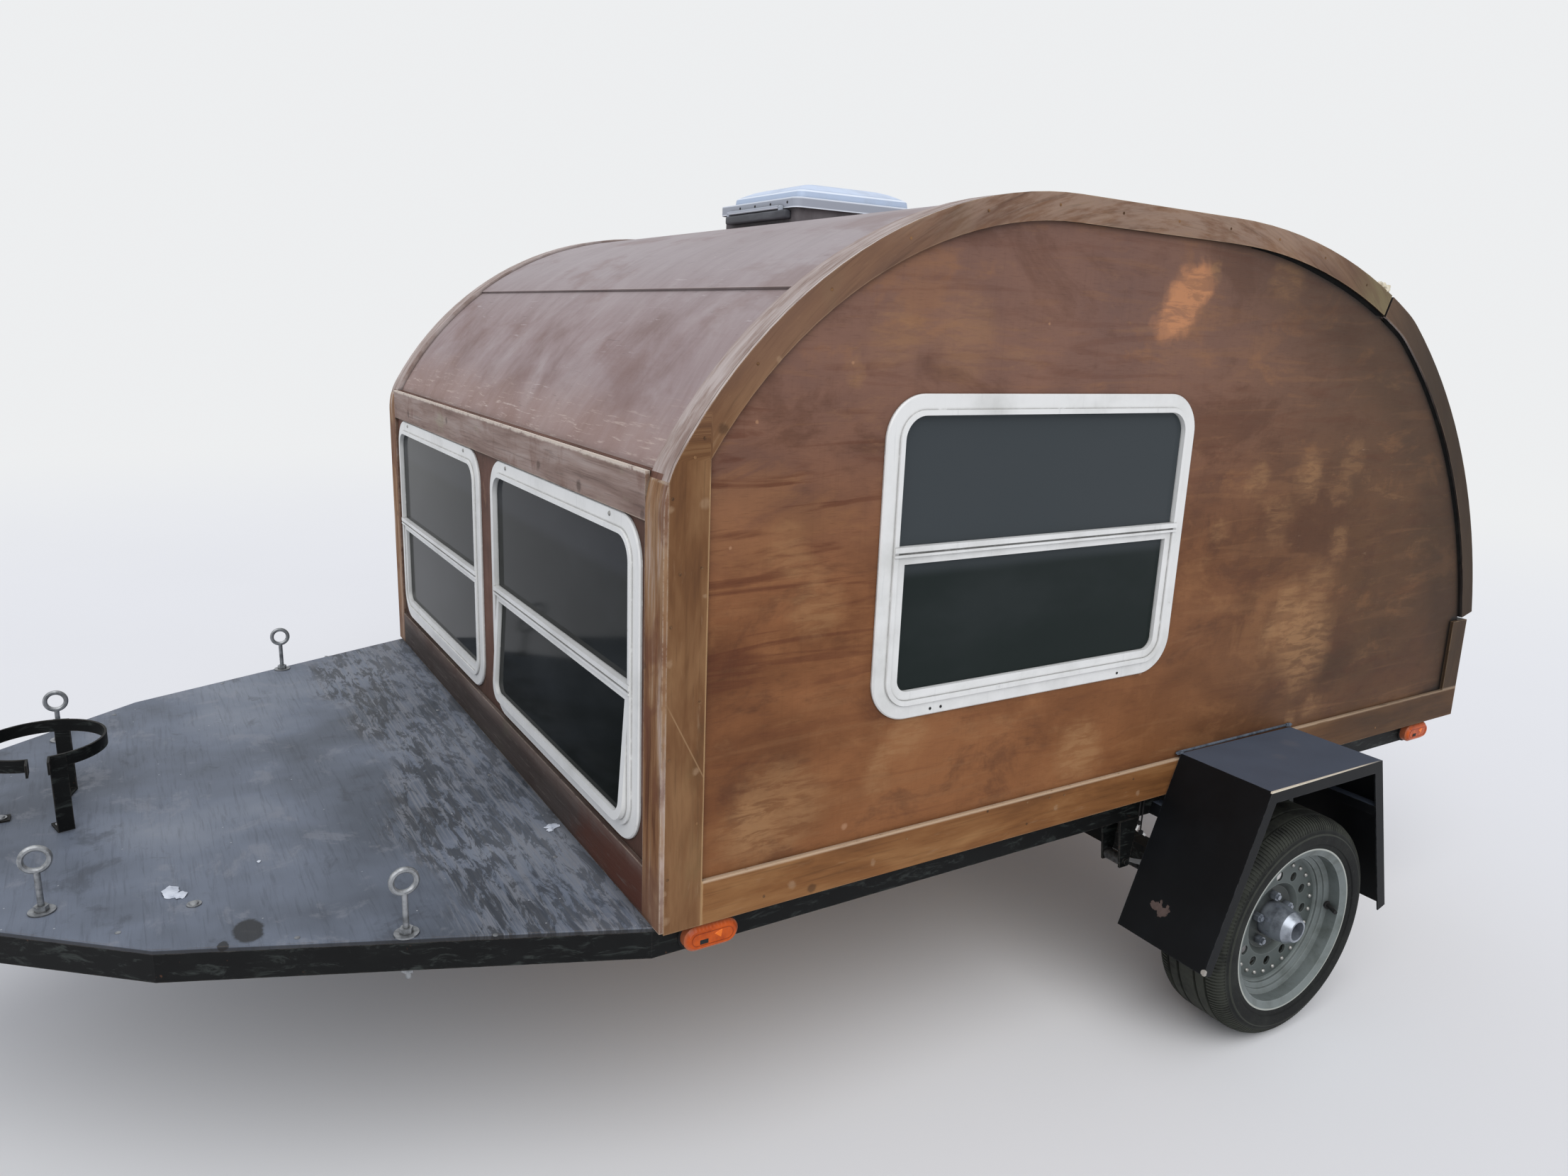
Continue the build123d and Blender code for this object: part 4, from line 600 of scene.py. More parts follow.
def inner_ply():
    """Bare birch ply inside the cabin."""
    f = Finish("inner_ply")
    grain = f.noise((5.0, 90.0, 90.0), 4.0, 0.6, 0.4)
    broad = f.noise(3.0, 3.0, 0.5)
    color = f.ramp(broad, (0.30, 0.60, 0.47, 0.32), (0.70, 0.72, 0.59, 0.43))
    color.darken(grain.rise(0.50, 0.75), 0.25)
    return f.surface(color, 0.6 + grain * 0.15, (grain, 0.25, 0.001), gloss=0.25)


def painted_steel():
    """Frame tubes: black paint, scuffed and dusty, with rust specks."""
    f = Finish("painted_steel")
    dust = f.noise(9.0, 5.0, 0.65)
    scuff = f.noise((16.0, 22.0, 60.0), 5.0, 0.72, 0.6)
    color = f.mix(dust.rise(0.35, 0.75), (0.022, 0.026, 0.028), (0.060, 0.067, 0.067))
    color.coat(scuff.rise(0.52, 0.66) * 0.60, 0.225, 0.245, 0.235)
    rust = f.noise(42.0, 4.0, 0.7)
    color.coat(rust.rise(0.68, 0.74) * 0.8, 0.31, 0.21, 0.155)
    color.coat(f.edges(0.003) * rust.rise(0.35, 0.6) * 0.6, 0.33, 0.31, 0.29)
    return f.surface(color, 0.46 + dust * 0.25, (dust + scuff * 0.4, 0.25, 0.001), gloss=0.18)


def fender_sheet():
    """Fenders: black powder coat, paler and bluer on top with dust and a painted sheen of the sky, bare
    bright along the top outer edge, one rust spot.
    """
    f = Finish("fender_sheet")
    dust = f.noise(7.0, 5.0, 0.6)
    color = f.mix(dust.rise(0.35, 0.75), (0.022, 0.028, 0.038), (0.045, 0.055, 0.068))
    # Faces that look up are painted paler and bluer: dust, and a painted sheen of the sky
    color.coat(f.normal()[2].rise(0.5, 0.95) * (0.70 + dust * 0.3), 0.31, 0.345, 0.40)
    cup_marks = [(FENDER_HIGH + Vector((-0.44, -0.16, 0.0)), 0.030, 0.6),
                 (FENDER_HIGH + Vector((-0.34, -0.12, 0.0)), 0.022, 0.5)]
    rings = f.spots(f.warp(f.place, 30.0, 0.02), cup_marks)
    color.coat(rings * 0.6, 0.36, 0.365, 0.39)
    rough_edge = f.noise(60.0, 4.0, 0.7)
    rust_marks = [(FENDER_SPOT, 0.024, 1.0), (FENDER_SPOT - Vector((0.0, 0.016, 0.0)), 0.018, 1.0)]
    rust = f.spots(f.warp(f.place, 38.0, 0.045), rust_marks).rise(0.25, 0.45)
    color.coat(rust, f.mix(rough_edge, (0.27, 0.225, 0.21), (0.41, 0.35, 0.33)))
    color.coat(rough_edge.rise(0.74, 0.77) * 0.6, 0.30, 0.26, 0.24)
    lip_end = (FENDER_LOW.x + 0.665, FENDER_HIGH.y, FENDER_LOW.z + 0.026)
    chip = f.spots(f.warp(f.place, 60.0, 0.012), [(lip_end, 0.010, 1.0)])
    color.coat(chip.rise(0.2, 0.4), 0.62, 0.60, 0.57)
    edge = f.z.rise(FENDER_HIGH.z - 0.0042, FENDER_HIGH.z - 0.0030)
    edge = edge * f.y.maths("ABSOLUTE").rise(FENDER_HIGH.y - 0.0045, FENDER_HIGH.y - 0.0030)
    color.coat(edge * dust.rise(0.20, 0.35), 0.86, 0.82, 0.74)
    worn = f.edges(0.003) * rough_edge.rise(0.42, 0.60)
    color.coat(worn * 0.35, 0.36, 0.37, 0.38)
    return f.surface(color, 0.42 + dust * 0.2, (dust, 0.15, 0.001), gloss=0.20)


def white_frame():
    """Window frames: white painted aluminium, streaked with dirt, with dirt and painted shade in the
    corners.
    """
    f = Finish("white_frame")
    dirt = f.noise(9.0, 5.0, 0.6)
    color = f.mix(dirt.rise(0.40, 0.85), (0.89, 0.89, 0.88), (0.80, 0.80, 0.785))
    grime_and_shade = f.noise(38.0, 5.0, 0.72)
    color.coat(grime_and_shade.rise(0.64, 0.78) * 0.35, 0.56, 0.53, 0.48)
    runs = f.noise((120.0, 120.0, 7.0), 3.0, 0.6)
    color.coat(runs.rise(0.58, 0.75) * 0.14, 0.55, 0.56, 0.57)
    # Painted shade in the corners, broken up by the dirt noise
    color.coat(f.crevice(0.005) * grime_and_shade.rise(0.25, 0.50) * 0.55, 0.30, 0.285, 0.26)
    return f.surface(color, 0.32 + dirt * 0.15, (dirt, 0.05, 0.0006))


def white_plastic():
    """Vent lid: white plastic, chalky."""
    f = Finish("white_plastic")
    dirt = f.noise(11.0, 5.0, 0.65)
    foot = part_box("vent_lid")[0]
    skirt_top = foot.z + LID_SKIRT
    # The skirt is painted darker as shade, the ledge and the dome's top paler and bluer as painted light
    # from above
    color = f.mix(f.z.rise(skirt_top - 0.001, skirt_top + 0.004), (0.64, 0.66, 0.70), (0.69, 0.745, 0.825))
    color.coat(f.z.rise(skirt_top + 0.021, skirt_top + 0.026), 0.79, 0.84, 0.915)
    color.coat(dirt.rise(0.45, 0.80) * 0.5, 0.62, 0.64, 0.67)
    # Soft edges that catch the light: along the skirt's bottom and top and round the dome
    for level, reach in ((foot.z + 0.003, 0.0022), (skirt_top, 0.0030), (skirt_top + 0.0195, 0.0030)):
        color.coat(f.z.distance(level).rise(reach, reach * 0.4) * 0.8, 0.93, 0.955, 0.985)
    # Painted shade in the corners
    color.coat(f.crevice(0.012) * 0.6, 0.33, 0.31, 0.29)
    return f.surface(color, 0.40 + dirt * 0.2, (dirt, 0.08, 0.0006), gloss=0.4)


def tinted_glass():
    """Dark window glass with a thin film of dust, darker and green below, where the insect screen is."""
    f = Finish("tinted_glass")
    dust = f.noise((2.0, 2.0, 4.0), 4.0, 0.55)
    fine = f.noise(60.0, 4.0, 0.6)
    lower = f.z.rise(BODY_LOW + 0.590, BODY_LOW + 0.560)
    front = f.mix(lower, (0.14, 0.15, 0.165), (0.06, 0.075, 0.066))
    side = f.mix(lower, (0.255, 0.275, 0.285), (0.14, 0.165, 0.16))
    color = f.mix(f.y.maths("ABSOLUTE").rise(0.890, 0.900), front, side)
    color.coat(dust.rise(0.42, 0.75) * 0.22, 0.27, 0.28, 0.29)
    return f.surface(color, 0.06 + fine * 0.05, IOR=1.13, Alpha=0.95 + dust * 0.05)


def amber_lens(name, bright, deep):
    """Marker lamps: ribbed amber plastic, pale round its edge."""
    f = Finish(name)
    ribs = (f.x * 900.0).maths("SINE")
    haze = f.noise(40.0, 4.0, 0.6)
    color = f.mix(haze.rise(0.35, 0.75), bright, deep)
    proud = f.y.maths("ABSOLUTE") - LENS_FOOT_Y
    color.coat(proud.rise(0.0225, 0.0160) * 0.65, 0.58, 0.385, 0.29)
    return f.surface(color, 0.24 + haze * 0.1, (ribs, 0.25, 0.0006), gloss=0.25)


def red_lens():
    """Tail lamps: ribbed red plastic."""
    f = Finish("red_lens")
    ribs = (f.y * 700.0).maths("SINE")
    haze = f.noise(40.0, 4.0, 0.6)
    color = f.mix(haze.rise(0.35, 0.75), (0.62, 0.06, 0.05), (0.45, 0.04, 0.04))
    return f.surface(color, 0.22 + haze * 0.1, (ribs, 0.25, 0.0006), gloss=0.4)


def zinc(name, pale, dull):
    """Zinc plated steel: mottled and dull."""
    f = Finish(name)
    spangle = f.cells(120.0)
    film = f.noise(45.0, 5.0, 0.65)
    color = f.mix(film.rise(0.35, 0.72), pale, dull)
    color.coat(spangle * 0.12, 0.75, 0.76, 0.77)
    # Painted shade in the corners
    color.coat(f.crevice(0.006) * 0.6, 0.16, 0.15, 0.14)
    return f.surface(color, 0.34 + film * 0.28, (film, 0.15, 0.0004), Metallic=0.75)


def polished_hub():
    """Hubs: turned steel, polished by hands, with painted shade where they reach deep into the wheel."""
    f = Finish("polished_hub")
    film = f.noise(30.0, 5.0, 0.65)
    depth = f.y.maths("ABSOLUTE") - (TYRE_FACE_Y - 0.073)
    color = f.mix(film.rise(0.40, 0.70), (0.62, 0.645, 0.68), (0.44, 0.46, 0.49))
    # Painted shade on the part of the hub deep in the wheel, and in its corners
    color.coat(depth.rise(0.012, -0.002) * 0.6, 0.15, 0.15, 0.145)
    color.coat(f.crevice(0.008) * 0.4, 0.10, 0.10, 0.10)
    return f.surface(color, 0.20 + film * 0.22, (film, 0.1, 0.0004), Metallic=0.65)


def silver_wheel():
    """Rims: silver paint, brighter on the barrel, with painted shade on the disc and a painted highlight
    along the lip.
    """
    f = Finish("silver_wheel")
    fleck = f.noise(420.0, 2.0, 0.5)
    dust = f.noise(18.0, 5.0, 0.65)
    # Distance from the axle: painted shade in the well and at the hub, a painted highlight along the lip
    reach = f.reach_from(WHEEL_X, AXLE_Z)
    color = f.mix(dust.rise(0.40, 0.75), (0.47, 0.50, 0.495), (0.37, 0.395, 0.38))
    color.coat(reach.rise(0.154, 0.146) * 0.8, 0.30, 0.33, 0.32)
    color.coat(reach.rise(0.085, 0.074) * 0.6, 0.20, 0.21, 0.205)
    color.coat(reach.rise(0.1915, 0.1930) * 0.8, 0.74, 0.75, 0.71)
    color.coat(f.edges(0.004) * 0.3, 0.70, 0.72, 0.71)
    # Painted shade deep in the wheel
    color.coat(f.crevice(0.05) * 0.6, 0.17, 0.175, 0.165)
    return f.surface(color, 0.36 + dust * 0.16 + fleck * 0.05, (fleck, 0.03, 0.0003), Metallic=0.45)


def rubber():
    """Tyres: dull black rubber, greenish grey with road dust."""
    f = Finish("rubber")
    dust = f.noise(12.0, 5.0, 0.65)
    fine = f.noise(160.0, 3.0, 0.6)
    color = f.mix(dust.rise(0.38, 0.72), (0.075, 0.08, 0.08), (0.14, 0.148, 0.138))
    reach = f.reach_from(WHEEL_X, AXLE_Z)
    color.coat(reach.rise(0.236, 0.246) * dust.rise(0.25, 0.55) * 0.45, 0.285, 0.295, 0.26)
    color.coat(reach.distance(0.2312).rise(0.0022, 0.0008) * 0.5, 0.31, 0.32, 0.29)
    color.coat(fine.rise(0.58, 0.75) * 0.35, 0.27, 0.27, 0.25)
    return f.surface(color, 0.74 + dust * 0.15, (fine + dust, 0.2, 0.0006), gloss=0.25)


def curb_plastic():
    """Vent curb: plastic gone brown grey with dirt, its hinge arms paler."""
    f = Finish("curb_plastic")
    dirt = f.noise((22.0, 22.0, 16.0), 4.0, 0.65)
    color = f.mix(dirt.rise(0.30, 0.75), (0.425, 0.405, 0.41), (0.355, 0.335, 0.34))
    arms = f.y.distance(0.0).distance(0.1255).rise(0.0065, 0.0055) * f.z.rise(1.802, 1.803)
    color.coat(arms * f.x.rise(-0.388, -0.387), 0.70, 0.725, 0.76)
    return f.surface(color, 0.6 + dirt * 0.15, (dirt, 0.2, 0.0006), gloss=0.25)


def plain_finish(name, scale, noise_shape, rise, first, second, rough, relief=(), **others):
    """Two colours that one noise mixes and roughens. Rise is where the second colour sets in."""
    f = Finish(name)
    patch = f.noise(scale, *noise_shape)
    color = f.mix(patch.rise(*rise) if rise else patch, first, second)
    return f.surface(color, rough[0] + patch * rough[1], relief and (patch, *relief), **others)


def old_sealant(name, pale, dirty):
    """Sealant and flakes of paint, dirty with age."""
    return plain_finish(name, 45.0, (4.0, 0.65), (0.35, 0.70), pale, dirty, (0.65, 0.15), (0.3, 0.0008),
                        gloss=0.25)


finishes = {
    "side_ply": stained_ply(), "side_board": stained_board(),
    "front_ply": front_ply(), "front_board": front_boards(),
    "roof_ply": roof_ply(), "rim_board": rim_board(), "hatch_shell": hatch_shell(),
    "deck_ply": deck_ply(), "inner_ply": inner_ply(),
    "frame_paint": painted_steel(), "fender_paint": fender_sheet(),
    "window_white": white_frame(), "vent_white": white_plastic(), "glass": tinted_glass(),
    "amber": amber_lens("amber_lens", (0.76, 0.33, 0.085), (0.63, 0.245, 0.05)),
    "amber_line": amber_lens("amber_line", (0.60, 0.245, 0.06), (0.50, 0.185, 0.045)),
    "red": red_lens(),
    "zinc": zinc("zinc", (0.62, 0.63, 0.64), (0.38, 0.39, 0.40)),
    "spring_steel": zinc("spring_steel", (0.22, 0.22, 0.22), (0.14, 0.13, 0.12)),
    "polished_hub": polished_hub(), "wheel_silver": silver_wheel(),
    "rubber": rubber(), "curb": curb_plastic(),
    "sealant": old_sealant("old_sealant", (0.90, 0.87, 0.79), (0.78, 0.74, 0.64)),
    "paint_flake": old_sealant("paint_flake", (0.84, 0.86, 0.89), (0.72, 0.745, 0.79)),
    "grey_sealant": old_sealant("grey_sealant", (0.36, 0.39, 0.43), (0.22, 0.245, 0.28)),
    # Stainless screws and rivets
    "screw": plain_finish("bright_steel", 60.0, (4.0, 0.6), None, (0.72, 0.72, 0.71), (0.50, 0.49, 0.47),
                          (0.28, 0.2), Metallic=0.9),
    # Gaskets, caps and ties
    "gasket": plain_finish("gasket_rubber", 30.0, (4.0, 0.6), (0.4, 0.75), (0.07, 0.07, 0.075),
                           (0.17, 0.165, 0.16), (0.6, 0.2), (0.2, 0.0005), gloss=0.35),
    # Near-black strip round the arch that stands for the shadow in the corner under the board, with some
    # dirt
    "painted_shadow": plain_finish("painted_shadow", 30.0, (4.0, 0.6), (0.45, 0.75), (0.035, 0.035, 0.035),
                         (0.09, 0.085, 0.075), (0.75, 0.1), gloss=0.08),
    # Prism in a marker lamp, that throws light back
    "prism": plain_finish("bright_prism", 200.0, (3.0, 0.6), None, (0.95, 0.50, 0.16), (0.86, 0.40, 0.10),
                          (0.2, 0.1), gloss=0.3),
    # Dark grey cover of the vent's hinge, dusty on top
    "cover": plain_finish("dark_cover", (40.0, 9.0, 40.0), (4.0, 0.6), (0.35, 0.70), (0.25, 0.255, 0.275),
                          (0.35, 0.355, 0.375), (0.42, 0.2), (0.1, 0.0004), gloss=0.35),
    # Wood filler over nail heads
    "filler": plain_finish("filler", 50.0, (4.0, 0.6), (0.40, 0.60), (0.53, 0.39, 0.26), (0.30, 0.21, 0.14),
                           (0.7, 0.1), (0.3, 0.0006), gloss=0.2),
}

node_finishes = {
    "side_ply": "side_panel_left side_panel_right door rear_panel_lower",
    "side_board": "side_boards_left side_boards_right",
    "front_ply": "front_wall",
    "front_board": "front_boards",
    "roof_ply": "roof_front roof_top",
    "rim_board": "roof_rims",
    "hatch_shell": "hatch",
    "deck_ply": "deck",
    "inner_ply": "floor bulkhead galley_shelves",
    "frame_paint": "rail_left rail_right cross_members drawbar deck_arms coupler jack_tube axle"
                   " cylinder_bracket spring_hangers hatch_hinge_leaf hatch_hinge_flap"
                   " door_hinge_leaves door_hinge_flaps",
    "fender_paint": "fender_left fender_right",
    "window_white": "window_frame_left window_frames_front window_frame_door",
    "curb": "vent_base",
    "vent_white": "vent_lid",
    "glass": "window_panes_left window_panes_front window_panes_door",
    "amber": "marker_lamps",
    "red": "tail_lamps",
    "zinc": "eye_bolts jack_leg spring_clamps hatch_handle door_handle",
    "spring_steel": "springs",
    "polished_hub": "hub_left hub_right",
    "wheel_silver": "rim_left rim_right",
    "rubber": "tyre_left tyre_right",
}
for finish_name, names in node_finishes.items():
    for name in names.split():
        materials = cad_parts[name].data.materials
        materials.clear()
        materials.append(finishes[finish_name])


# Making pieces

def sharpen(shape, angle=radians(32.0)):
    """Shades a mesh smooth apart from its sharp edges."""
    for face in shape.faces:
        face.smooth = True
    for edge in shape.edges:
        edge.smooth = len(edge.link_faces) == 2 and edge.calc_face_angle(0.0) < angle


def new_object(name, data):
    made = bpy.data.objects.new(name, data)
    bpy.context.scene.collection.objects.link(made)
    return made


def mesh_object(name, shape):
    mesh = bpy.data.meshes.new(name)
    shape.to_mesh(mesh)
    shape.free()
    return new_object(name, mesh)


def add_piece(name, shape, finish_name, body="trailer"):
    """Makes an object of a bmesh, that rides on a body."""
    bmesh.ops.recalc_face_normals(shape, faces=shape.faces)
    sharpen(shape)
    made = mesh_object(name, shape)
    made.data.materials.append(finishes[finish_name])
    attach(made, body)
    return made


def facing(place, outward):
    """Matrix that takes +Z to outward at a place."""
    return Matrix.Translation(place) @ Vector(outward).to_track_quat("Z", "Y").to_matrix().to_4x4()


def disc(shape, matrix, radius, height, sides=16, top=1.0):
    """Adds a short round solid that stands on the matrix's origin."""
    bmesh.ops.create_cone(shape, cap_ends=True, segments=sides, radius1=radius, radius2=radius * top,
                          depth=height, matrix=matrix @ Matrix.Translation((0, 0, height / 2)))


def round_edges(shape, edges, offset, segments):
    bmesh.ops.bevel(shape, geom=edges, offset=offset, segments=segments, profile=0.5, affect="EDGES",
                    material=-1)


def verts_in(geometry):
    return [item for item in geometry if isinstance(item, bmesh.types.BMVert)]


def block(shape, middle, size, bevelled=0.0):
    """Adds a box, its edges rounded where bevelled is given."""
    matrix = Matrix.Translation(middle) @ Matrix.Diagonal((*size, 1.0))
    verts = bmesh.ops.create_cube(shape, size=1.0, matrix=matrix)["verts"]
    if bevelled:
        round_edges(shape, list({edge for vert in verts for edge in vert.link_edges}), bevelled, 4)


def screw(shape, matrix, radius, height):
    """Adds a pan head."""
    disc(shape, matrix, radius, height * 0.4)
    disc(shape, matrix @ Matrix.Translation((0, 0, height * 0.4)), radius, height * 0.6, top=0.6)


def dome(shape, matrix, radius, height):
    """Adds a flattened ball, half of it sunk."""
    matrix = matrix @ Matrix.Diagonal((radius, radius, height, 1.0))
    bmesh.ops.create_uvsphere(shape, u_segments=16, v_segments=6, radius=1.0, matrix=matrix)


def on_surface(trees, start, direction):
    """Where a ray first meets some nodes, and the way that their face looks there."""
    hits = [hit for hit in (tree.ray_cast(Vector(start), Vector(direction)) for tree in trees) if hit[0]]
    place, outward = min(hits, key=lambda hit: hit[3])[:2]
    return place, outward if outward.dot(Vector(direction)) < 0 else -outward


def trees_of(*nodes):
    """Nodes made ready for rays."""
    graph = bpy.context.evaluated_depsgraph_get()
    return [BVHTree.FromObject(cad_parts[node], graph) for node in nodes]


# Tyres: rounded section with grooves round it, cut across into blocks

GROOVE_DEPTH = 0.006
TREAD_STEPS = 360


def tyre_section():
    """Half section from bead to middle. Columns: distance from the tyre's middle, radius."""
    half = TYRE_WIDTH / 2
    side = [(half - 0.018, 0.1796), (half - 0.010, 0.190), (half - 0.0062, 0.1995), (half - 0.0040, 0.2050),
            (half - 0.0042, 0.2070), (half - 0.0016, 0.2085), (half - 0.0008, 0.2120), (half, 0.2220),
            (half, 0.2310), (half - 0.0016, 0.2315), (half - 0.0022, 0.2330), (half - 0.0050, 0.2420),
            (half - 0.0090, 0.2500), (half - 0.0150, 0.2565), (half - 0.0240, 0.2612)]
    # Columns: outer and inner edge of a groove, measured from the tyre's middle
    crown = []
    for outer, inner in ((0.052, 0.045), (0.025, 0.018)):
        edge = TYRE_RADIUS - 0.0010 * (outer / 0.05) ** 2
        foot = edge - GROOVE_DEPTH
        crown += [(outer, edge), (outer - 0.0008, foot), (inner + 0.0008, foot), (inner, edge)]
    return side + crown


def make_tyre(side, name):
    half = tyre_section()
    section = half + [(-y, radius) for y, radius in reversed(half)]
    shape = bmesh.new()
    middle_y = side * (TYRE_FACE_Y - TYRE_WIDTH / 2)
    verts = [shape.verts.new((WHEEL_X, middle_y + y, AXLE_Z + radius)) for y, radius in section]
    ring = [shape.edges.new(pair) for pair in zip(verts, verts[1:] + verts[:1])]
    bmesh.ops.spin(shape, geom=verts + ring, cent=(WHEEL_X, middle_y, AXLE_Z), axis=LEFT, angle=2 * pi,
                   steps=TREAD_STEPS, use_merge=True)
    bmesh.ops.remove_doubles(shape, verts=shape.verts, dist=0.00002)
    bmesh.ops.recalc_face_normals(shape, faces=shape.faces)
    # Shoulder teeth: every second face of the outer rib and of the shoulder below it is pressed in
    cuts = []
    for face in shape.faces:
        centre = face.calc_center_median()
        arm = Vector((centre.x - WHEEL_X, centre.z - AXLE_Z))
        step = int((atan2(arm.y, arm.x) / (2 * pi) % 1.0) * TREAD_STEPS)
        offset = abs(centre.y - middle_y)
        if 0.054 < offset < 0.084 and arm.length > 0.2440 and step % 2 == 0:
            cuts.append(face)
    pressed = verts_in(bmesh.ops.extrude_face_region(shape, geom=cuts)["geom"])
    bmesh.ops.delete(shape, geom=cuts, context="FACES")
    for vert in pressed:
        arm = Vector((vert.co.x - WHEEL_X, 0.0, vert.co.z - AXLE_Z))
        vert.co -= arm.normalized() * 0.0026
    tyre = add_piece(f"tyre_tread_{name}", shape, "rubber", f"wheel_{name}")
    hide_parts(f"tyre_{name}")


# Rim trim: domed rivets round the disc and a valve stem. Depths are measured in from the tyre's outer face

RIVET_COUNT = 24
RIVET_CIRCLE = 0.132
DISC_DEPTH = 0.061
VALVE_DEPTH = 0.040


def rim_trim(side, name):
    body = f"wheel_{name}"
    shape = bmesh.new()
    face_y = side * (TYRE_FACE_Y - DISC_DEPTH)
    for index in range(RIVET_COUNT):
        angle = radians(4.0) + 2 * pi * index / RIVET_COUNT
        place = Vector((WHEEL_X + RIVET_CIRCLE * cos(angle), face_y, AXLE_Z + RIVET_CIRCLE * sin(angle)))
        dome(shape, facing(place, (0, side, 0)), 0.0056, 0.0052)
    add_piece(f"rim_rivets_{name}", shape, "screw", body)
    shape = bmesh.new()
    foot = Vector((WHEEL_X - 0.176, side * (TYRE_FACE_Y - VALVE_DEPTH), AXLE_Z))
    outward = Vector((0.50, side * 0.86, 0.0))
    disc(shape, facing(foot, outward), 0.010, 0.005)
    disc(shape, facing(foot, outward), 0.0055, 0.030, top=0.8)
    disc(shape, facing(foot + outward.normalized() * 0.026, outward), 0.0052, 0.011, top=0.9)
    add_piece(f"valve_{name}", shape, "gasket", body)


# Small fittings of the cabin

def window_screws():
    """Two pan heads in the top flange of each front window, and dark drain slots under the side window."""
    shape = bmesh.new()
    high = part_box("window_frames_front")[1]
    for side in (-1, 1):
        for y in (0.163, 0.734):
            screw(shape, facing((FRONT_X - TRIM + 0.006, side * y, high.z - 0.011), AHEAD), 0.0042, 0.0022)
    add_piece("window_screws", shape, "screw")
    low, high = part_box("window_frame_left")
    shape = bmesh.new()
    for x in (high.x - 0.135, high.x - 0.160, low.x + 0.150):
        disc(shape, facing((x, PANEL_Y + 0.0062, low.z + 0.012), LEFT), 0.0028, 0.0006, 10)
    add_piece("drain_holes", shape, "gasket")


def nails():
    """Filled nail heads on the left and right boards, hardly proud."""
    boards = trees_of("side_boards_left")
    spots = [(FRONT_X - inset, BODY_LOW + z) for inset, first in ((0.014, 0.10), (0.066, 0.19))
             for z in (first, first + 0.21, first + 0.43, first + 0.63)]
    spots += [(FRONT_X - 0.20 - 0.31 * index, BODY_LOW + 0.022 + 0.038 * (index % 2)) for index in range(7)]
    middle = Vector((FRONT_X - 1.05, SIDE_Y - 0.004, BODY_LOW + 0.20))
    for index in range(17):
        angle = radians(22 + 8.6 * index)
        ray = Vector((cos(angle), 0.0, sin(angle)))
        rim = on_surface(boards, middle + ray * 3.0, -ray)[0]
        spots.append(((rim - ray * 0.022).x, (rim - ray * 0.022).z))
    shape = bmesh.new()
    for x, z in spots:
        for side in (-1, 1):
            disc(shape, facing((x, side * SIDE_Y, z), (0, side, 0)), 0.0026, 0.0004, 9)
    add_piece("nail_fillings", shape, "filler")


def lump(shape, place, size, seed):
    """A torn bit of sealant: a small ball pushed about by noise."""
    made = bmesh.ops.create_icosphere(shape, subdivisions=3, radius=1.0)["verts"]
    for vert in made:
        push = 1.0 + 0.55 * noise.noise(vert.co * 1.7 + Vector((seed, 0.0, 0.0)))
        vert.co = Vector(place) + Vector([part * width * push for part, width in zip(vert.co, size)])


def hinge_sealant():
    """Old sealant along the hatch hinge: torn lumps at the rims."""
    shape = bmesh.new()
    trees = trees_of("side_boards_left", "side_boards_right", "side_panel_left", "side_panel_right",
                     "roof_rims", "hatch_hinge_leaf")
    # Columns: x ahead of the hatch, y, half sizes
    for index, (x, y, size) in enumerate((
            (0.010, 0.940, (0.014, 0.011, 0.012)), (0.006, 0.926, (0.012, 0.010, 0.009)),
            (0.016, 0.932, (0.009, 0.008, 0.012)), (0.009, 0.905, (0.010, 0.016, 0.006)),
            (0.014, 0.890, (0.010, 0.010, 0.004)), (0.012, -0.90, (0.010, 0.030, 0.004)))):
        place, outward = on_surface(trees, (HINGE_X + x, y, 2.5), (0, 0, -1))
        lump(shape, place + outward * size[2] * 0.55, size, index * 3.1)
    add_piece("hinge_sealant", shape, "sealant")


def arch_shadow_strips():
    """Near-black strip in the corner between the side panel and the rear part of its arched board: a
    painted shadow, with some dirt.
    """
    for side, name in SIDES:
        trees = trees_of(f"side_boards_{name}", "hatch")
        middle = Vector((FRONT_X - 1.35, side * (SIDE_Y - 0.004), BODY_LOW + 0.42))
        shape = bmesh.new()
        rows = []
        for index in range(61):
            angle = radians(86.0 + 93.0 * index / 60)
            ray = Vector((cos(angle), 0.0, sin(angle)))
            rim = on_surface(trees, middle, ray)[0]
            width = 0.008 * min(1.0, index / 14.0 + 0.12)
            rows.append([(rim - ray * (width + 0.0008), PANEL_Y + 0.0004),
                         (rim - ray * (width * 0.4), PANEL_Y + 0.0032),
                         (rim - ray * 0.0008, PANEL_Y + 0.0036)])
        grid = [[shape.verts.new((point.x, side * y, point.z)) for point, y in row] for row in rows]
        for first, second in zip(grid, grid[1:]):
            for index in range(2):
                shape.faces.new((first[index], first[index + 1], second[index + 1], second[index]))
        add_piece(f"arch_shadow_strip_{name}", shape, "painted_shadow")


